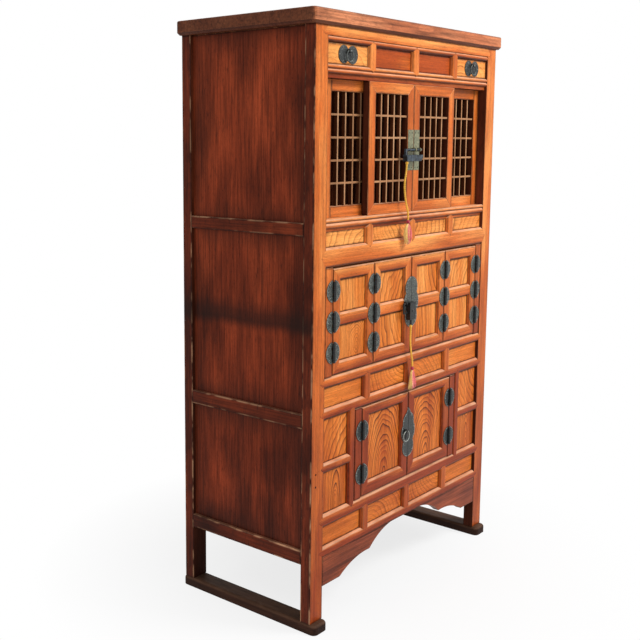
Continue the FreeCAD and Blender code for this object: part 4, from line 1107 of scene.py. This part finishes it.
low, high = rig.box("padlock_upper")
bar = Vector(joints["padlock_upper_swing"]["pos_m"])
body_top = low.z + 18 * MM
trim = [band(Vector((x * MM, low.y, low.z)), Vector(((x + 6) * MM, high.y, body_top)), 0.6 * MM)
        for x in (-66, -42, -8)]
trim += [collar(Vector((x * MM, bar.y, bar.z)), 4.4 * MM, 5 * MM) for x in (-46, -26, 0)]
dress_lock("padlock_upper", trim, "blue")

low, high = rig.box("padlock_fold")
block_low = Vector((high.x - 30 * MM, low.y, low.z + 16 * MM))
block_rear = low.y + 13 * MM
boss_profile = ((0.0, 1.6), (3.0, 1.4), (4.6, 0.8), (5.6, 0.0), (0.0, 0.0))
trim = []
for rise in (2 * MM, 46 * MM):
    foot = block_low + Vector((0, 0, rise))
    trim.append(band(foot, Vector((high.x, block_rear, foot.z + 5 * MM)), 0.7 * MM))
trim.append(turned(boss_profile, block_low + Vector((15 * MM, 0, 28 * MM))))
dress_lock("padlock_fold", trim, "black")

for side_name in ("left", "right"):
    node = "lattice_plate_" + side_name
    low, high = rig.box(node)
    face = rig.box("lattice_frame_middle_" + side_name)[0].y - 1.6 * MM
    dark_nails = bmesh.new()
    for height in (low.z + 8 * MM, high.z - 9 * MM):
        for across in (0.25, 0.75):
            domed(dark_nails, Vector((low.x + across * (high.x - low.x), face, height)), 1.9 * MM)
    dress_iron(node, arris=0.5, extra=[tinted(dark_nails, 2)])
print("fittings", len(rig.pieces()))

# %% [markdown]
# A cord is two yellow strands twisted together. Its line is a smooth curve through the same few
# places as the model's, and the strands wind round that line. A small knot ties it to its lock.

# %% Cords


def cloth(name, base, deep, scale):
    r = Recipe(name)
    here = r.add("TexCoord").outputs["Object"]
    speck = r.noise(here, (scale,) * 3, 3.0)
    colour = r.mix(r.ramp(speck, (0.35, 0.0), (0.65, 1.0)), paint(deep), paint(base))
    r.bump(speck, 0.4, 0.0004)
    r.surface(Base_Color=colour, Roughness=0.85, Sheen_Weight=0.3)
    return r.material


threads = {
    "yellow": cloth("yellow_cord", "f6c33a", "cf8f1c", 700.0),
    "cream": cloth("cream_threads", "fbe092", "e0a842", 700.0),
    "pink": cloth("pink_threads", "f79390", "d64a50", 700.0),
    "red": cloth("red_bead", "c22a40", "7c1226", 400.0),
}
upper_route = (
    (-60.0, 11.0, 1292.0),
    (-60.0, 11.0, 1268.0),
    (-73.0, 12.0, 1229.0),
    (-70.0, 13.0, 1194.0),
    (-58.0, 12.5, 1160.0),
    (-48.0, 12.0, 1138.0),
    (-48.0, 12.0, 1121.0),
)
fold_route = (
    (-16.6, 10.5, 804.0),
    (-16.6, 10.5, 784.0),
    (-19.0, 11.0, 757.0),
    (-16.0, 12.0, 728.0),
    (-9.5, 12.0, 702.0),
    (-4.0, 11.5, 688.0),
    (-4.0, 11.5, 674.0),
)


def centreline(route):
    """Closely spaced points on a smooth curve along a route."""
    curve = bpy.data.curves.new("centreline", "CURVE")
    curve.dimensions = "3D"
    spline = curve.splines.new("NURBS")
    spline.points.add(len(route) - 1)
    for point, (x, d, z) in zip(spline.points, route):
        point.co = (x * MM, front - d * MM, z * MM, 1)
    spline.order_u = 3
    spline.use_endpoint_u = True
    spline.resolution_u = 12
    line = bpy.data.objects.new("centreline", curve)
    mesh = bpy.data.meshes.new_from_object(line)
    places = [v.co.copy() for v in mesh.vertices]
    bpy.data.objects.remove(line)
    bpy.data.meshes.remove(mesh)
    return places


strand_radius = 1.85 * MM
strand_reach = 1.35 * MM
strand_pitch = 12 * MM


def wound(path, start):
    """A line that winds round a path at the strands' distance, from a starting angle."""
    line = []
    run = 0.0
    for index, place in enumerate(path):
        ahead = path[min(index + 1, len(path) - 1)]
        behind = path[max(index - 1, 0)]
        along = (ahead - behind).normalized()
        side = along.cross(Vector((0, -1, 0))).normalized()
        out = along.cross(side)
        run += (place - behind).length if index else 0
        angle = start + math.tau * run / strand_pitch
        line.append(place + strand_reach * (side * math.cos(angle) + out * math.sin(angle)))
    return line


def knot_loops(place, radius, tilts):
    """A few turns of cord about a place, each tilted its own way."""
    loops = []
    for tilt in tilts:
        nod, lean = math.radians(tilt), math.radians(tilt * 0.6)
        turn = Matrix.Rotation(nod, 3, "X") @ Matrix.Rotation(lean, 3, "Y")
        loops.append([place + turn @ Vector((radius * math.cos(a), radius * math.sin(a), 0))
                      for a in (math.tau * step / 16 for step in range(17))])
    return loops


def ride_piece(name, bm, material, body, slot, stands_for=()):
    """A cloth or cord piece, smooth all over."""
    piece = piece_from(name, [bm], [material], body, slot, stands_for, 180)
    piece.modifiers.clear()
    return piece


def dress_cord(node, route, body):
    """A twisted cord of two strands, with its length read off its own line."""
    path = centreline(route)
    length = sum((b - a).length for a, b in zip(path, path[1:]))
    lines = [wound(path, start) for start in (0, math.pi)]
    lines += knot_loops(path[0] - Vector((0, 0, 5 * MM)), 3.2 * MM, (-35, 10, 40, 80))
    strands = line_tubes(lines, strand_radius)
    piece = ride_piece("dressed_" + node, strands, threads["yellow"], body, slot_of[node], [node])
    print(node, "length", round(length, 4))
    return piece, path, length


# %% [markdown]
# A tassel is a bundle of threads tied under a small bead. Each thread is a thin tube with its own
# drift, cream on the left and pink on the right. The upper one has settled into the shape of a
# leaf, and the lower one is frayed like a brush.

# %% Tassels
tassel_width = 17 * MM
thread_radius = 0.7 * MM
threads_in_colour = 70


def leaf_shape(share):
    return math.sin(math.pi * 0.76 * share ** 0.8)


def brush_shape(share):
    return share ** 0.5


def tassel(node, path, length, body, draw, shape):
    """The threads and the bead that hang from the end of a cord."""
    end = path[-1]
    top = end - Vector((0, 0, 10.5 * MM))
    bundles = {"cream": [], "pink": []}
    for colour, lines in bundles.items():
        for index in range(threads_in_colour):
            lean = draw.uniform(-1.0, 0.25) if colour == "cream" else draw.uniform(-0.35, 1.0)
            depth = draw.uniform(-1, 1)
            drop = length * draw.uniform(0.72, 1.0)
            wave = draw.uniform(-2.2, 2.2) * MM
            line = []
            for step in range(8):
                share = step / 7
                swing = wave * math.sin(share * 5 + index) * share
                across = (2.0 * MM + (tassel_width - 2 * MM) * shape(share)) * lean + swing
                across = max(-tassel_width, min(tassel_width, across))
                line.append(top + Vector((across, (1.8 + 4.5 * share) * MM * depth, -drop * share)))
            lines.append(line)
    made = []
    for colour, lines in bundles.items():
        bundle = line_tubes(lines, thread_radius, 0)
        made.append(ride_piece(node + "_" + colour, bundle, threads[colour], body, "tassel_pink"))
    bead = bmesh.new()
    bmesh.ops.create_uvsphere(bead, u_segments=24, v_segments=16, radius=5.6 * MM,
                              matrix=Matrix.Translation(end - Vector((0, 0, 6 * MM))))
    made.append(piece_from(node + "_bead", [bead], [threads["red"]], body, "tassel_pink", [node]))
    return made


draw = random.Random(5)
for node, route, body, hang, shape in (("cord_upper", upper_route, "padlock_upper", 62 * MM, leaf_shape),
                                       ("cord_fold", fold_route, "padlock_fold", 60 * MM, brush_shape)):
    cord_piece, path, length = dress_cord(node, route, body)
    on_it = tassel(node.replace("cord", "tassel"), path, hang, body, draw, shape)
    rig.cord(cord_piece, exit=path[0], length=length, diameter=6.4 * MM, far_end="knot", stiffness="limp",
            lay="hanging", path=path, with_pieces=on_it)

# %% [markdown]
# The studio is a plain white floor under a pale sky. One broad lamp stands high in front and to
# the right, and a weaker one lights the dark side. Near the chest the floor takes its soft shadow,
# and further out it fades to plain white, so that no horizon shows.

# %% Floor, sky and lamps


def seen_directly(tree):
    """1 for camera, mirror and clear-glass rays, so that they meet the same white."""
    rays = tree.nodes.new("ShaderNodeLightPath")
    total = rays.outputs["Is Camera Ray"]
    for name in ("Is Glossy Ray", "Is Transmission Ray"):
        most = tree.nodes.new("ShaderNodeMath")
        most.operation = "MAXIMUM"
        tree.links.new(total, most.inputs[0])
        tree.links.new(rays.outputs[name], most.inputs[1])
        total = most.outputs[0]
    return total


def lay_floor():
    bm = bmesh.new()
    bmesh.ops.create_grid(bm, x_segments=1, y_segments=1, size=14)
    mesh = bpy.data.meshes.new("floor")
    bm.to_mesh(mesh)
    bm.free()
    r = Recipe("white_floor")
    r.surface(Base_Color=(0.80, 0.80, 0.80, 1), Roughness=0.9, Specular_IOR_Level=0.1)
    here = r.add("TexCoord").outputs["Object"]
    away = r.add("VectorMath", {0: here}, operation="LENGTH").outputs["Value"]
    plain = r.ramp(r.math("DIVIDE", away, 4.0), (0.08, 0.78), (0.25, 1.0))
    glow = r.add("Emission", {"Color": (1, 1, 1, 1), "Strength": 1.0})
    share = r.math("MULTIPLY", plain, seen_directly(r.tree))
    both = r.add("MixShader", {0: share, 1: r.shader.outputs[0], 2: glow.outputs[0]})
    output = next(n for n in r.tree.nodes if n.type == "OUTPUT_MATERIAL")
    r.tree.links.new(both.outputs[0], output.inputs["Surface"])
    mesh.materials.append(r.material)
    floor = bpy.data.objects.new("floor", mesh)
    scene.collection.objects.link(floor)
    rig.stage(floor)


def lamp(name, place, target, width, power):
    data = bpy.data.lights.new(name, "AREA")
    data.shape = "SQUARE"
    data.size = width
    data.energy = power
    thing = bpy.data.objects.new(name, data)
    scene.collection.objects.link(thing)
    thing.location = place
    thing.rotation_euler = (Vector(target) - Vector(place)).to_track_quat("-Z", "Y").to_euler()


lay_floor()
world = bpy.data.worlds.new("sky")
scene.world = world
world.use_nodes = True
sky = world.node_tree.nodes["Background"]
sky.inputs["Color"].default_value = (1, 1, 1, 1)
level = world.node_tree.nodes.new("ShaderNodeMath")
level.operation = "MULTIPLY_ADD"
world.node_tree.links.new(seen_directly(world.node_tree), level.inputs[0])
level.inputs[1].default_value = 0.55
level.inputs[2].default_value = 0.45
world.node_tree.links.new(level.outputs[0], sky.inputs["Strength"])
lamp("key", (1.5, -3.0, 3.9), (0, 0, 1.0), 1.6, 190)
lamp("left", (-4.0, -1.5, 2.0), (0, 0, 0.8), 2.5, 38)
scene.view_settings.view_transform = "Standard"

# %% Sizes and finish
size = {"cad": [list(corner) for corner in cad_box], "visual": [list(corner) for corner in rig.bounds()]}
with open("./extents.json", "w") as out:
    json.dump(size, out)
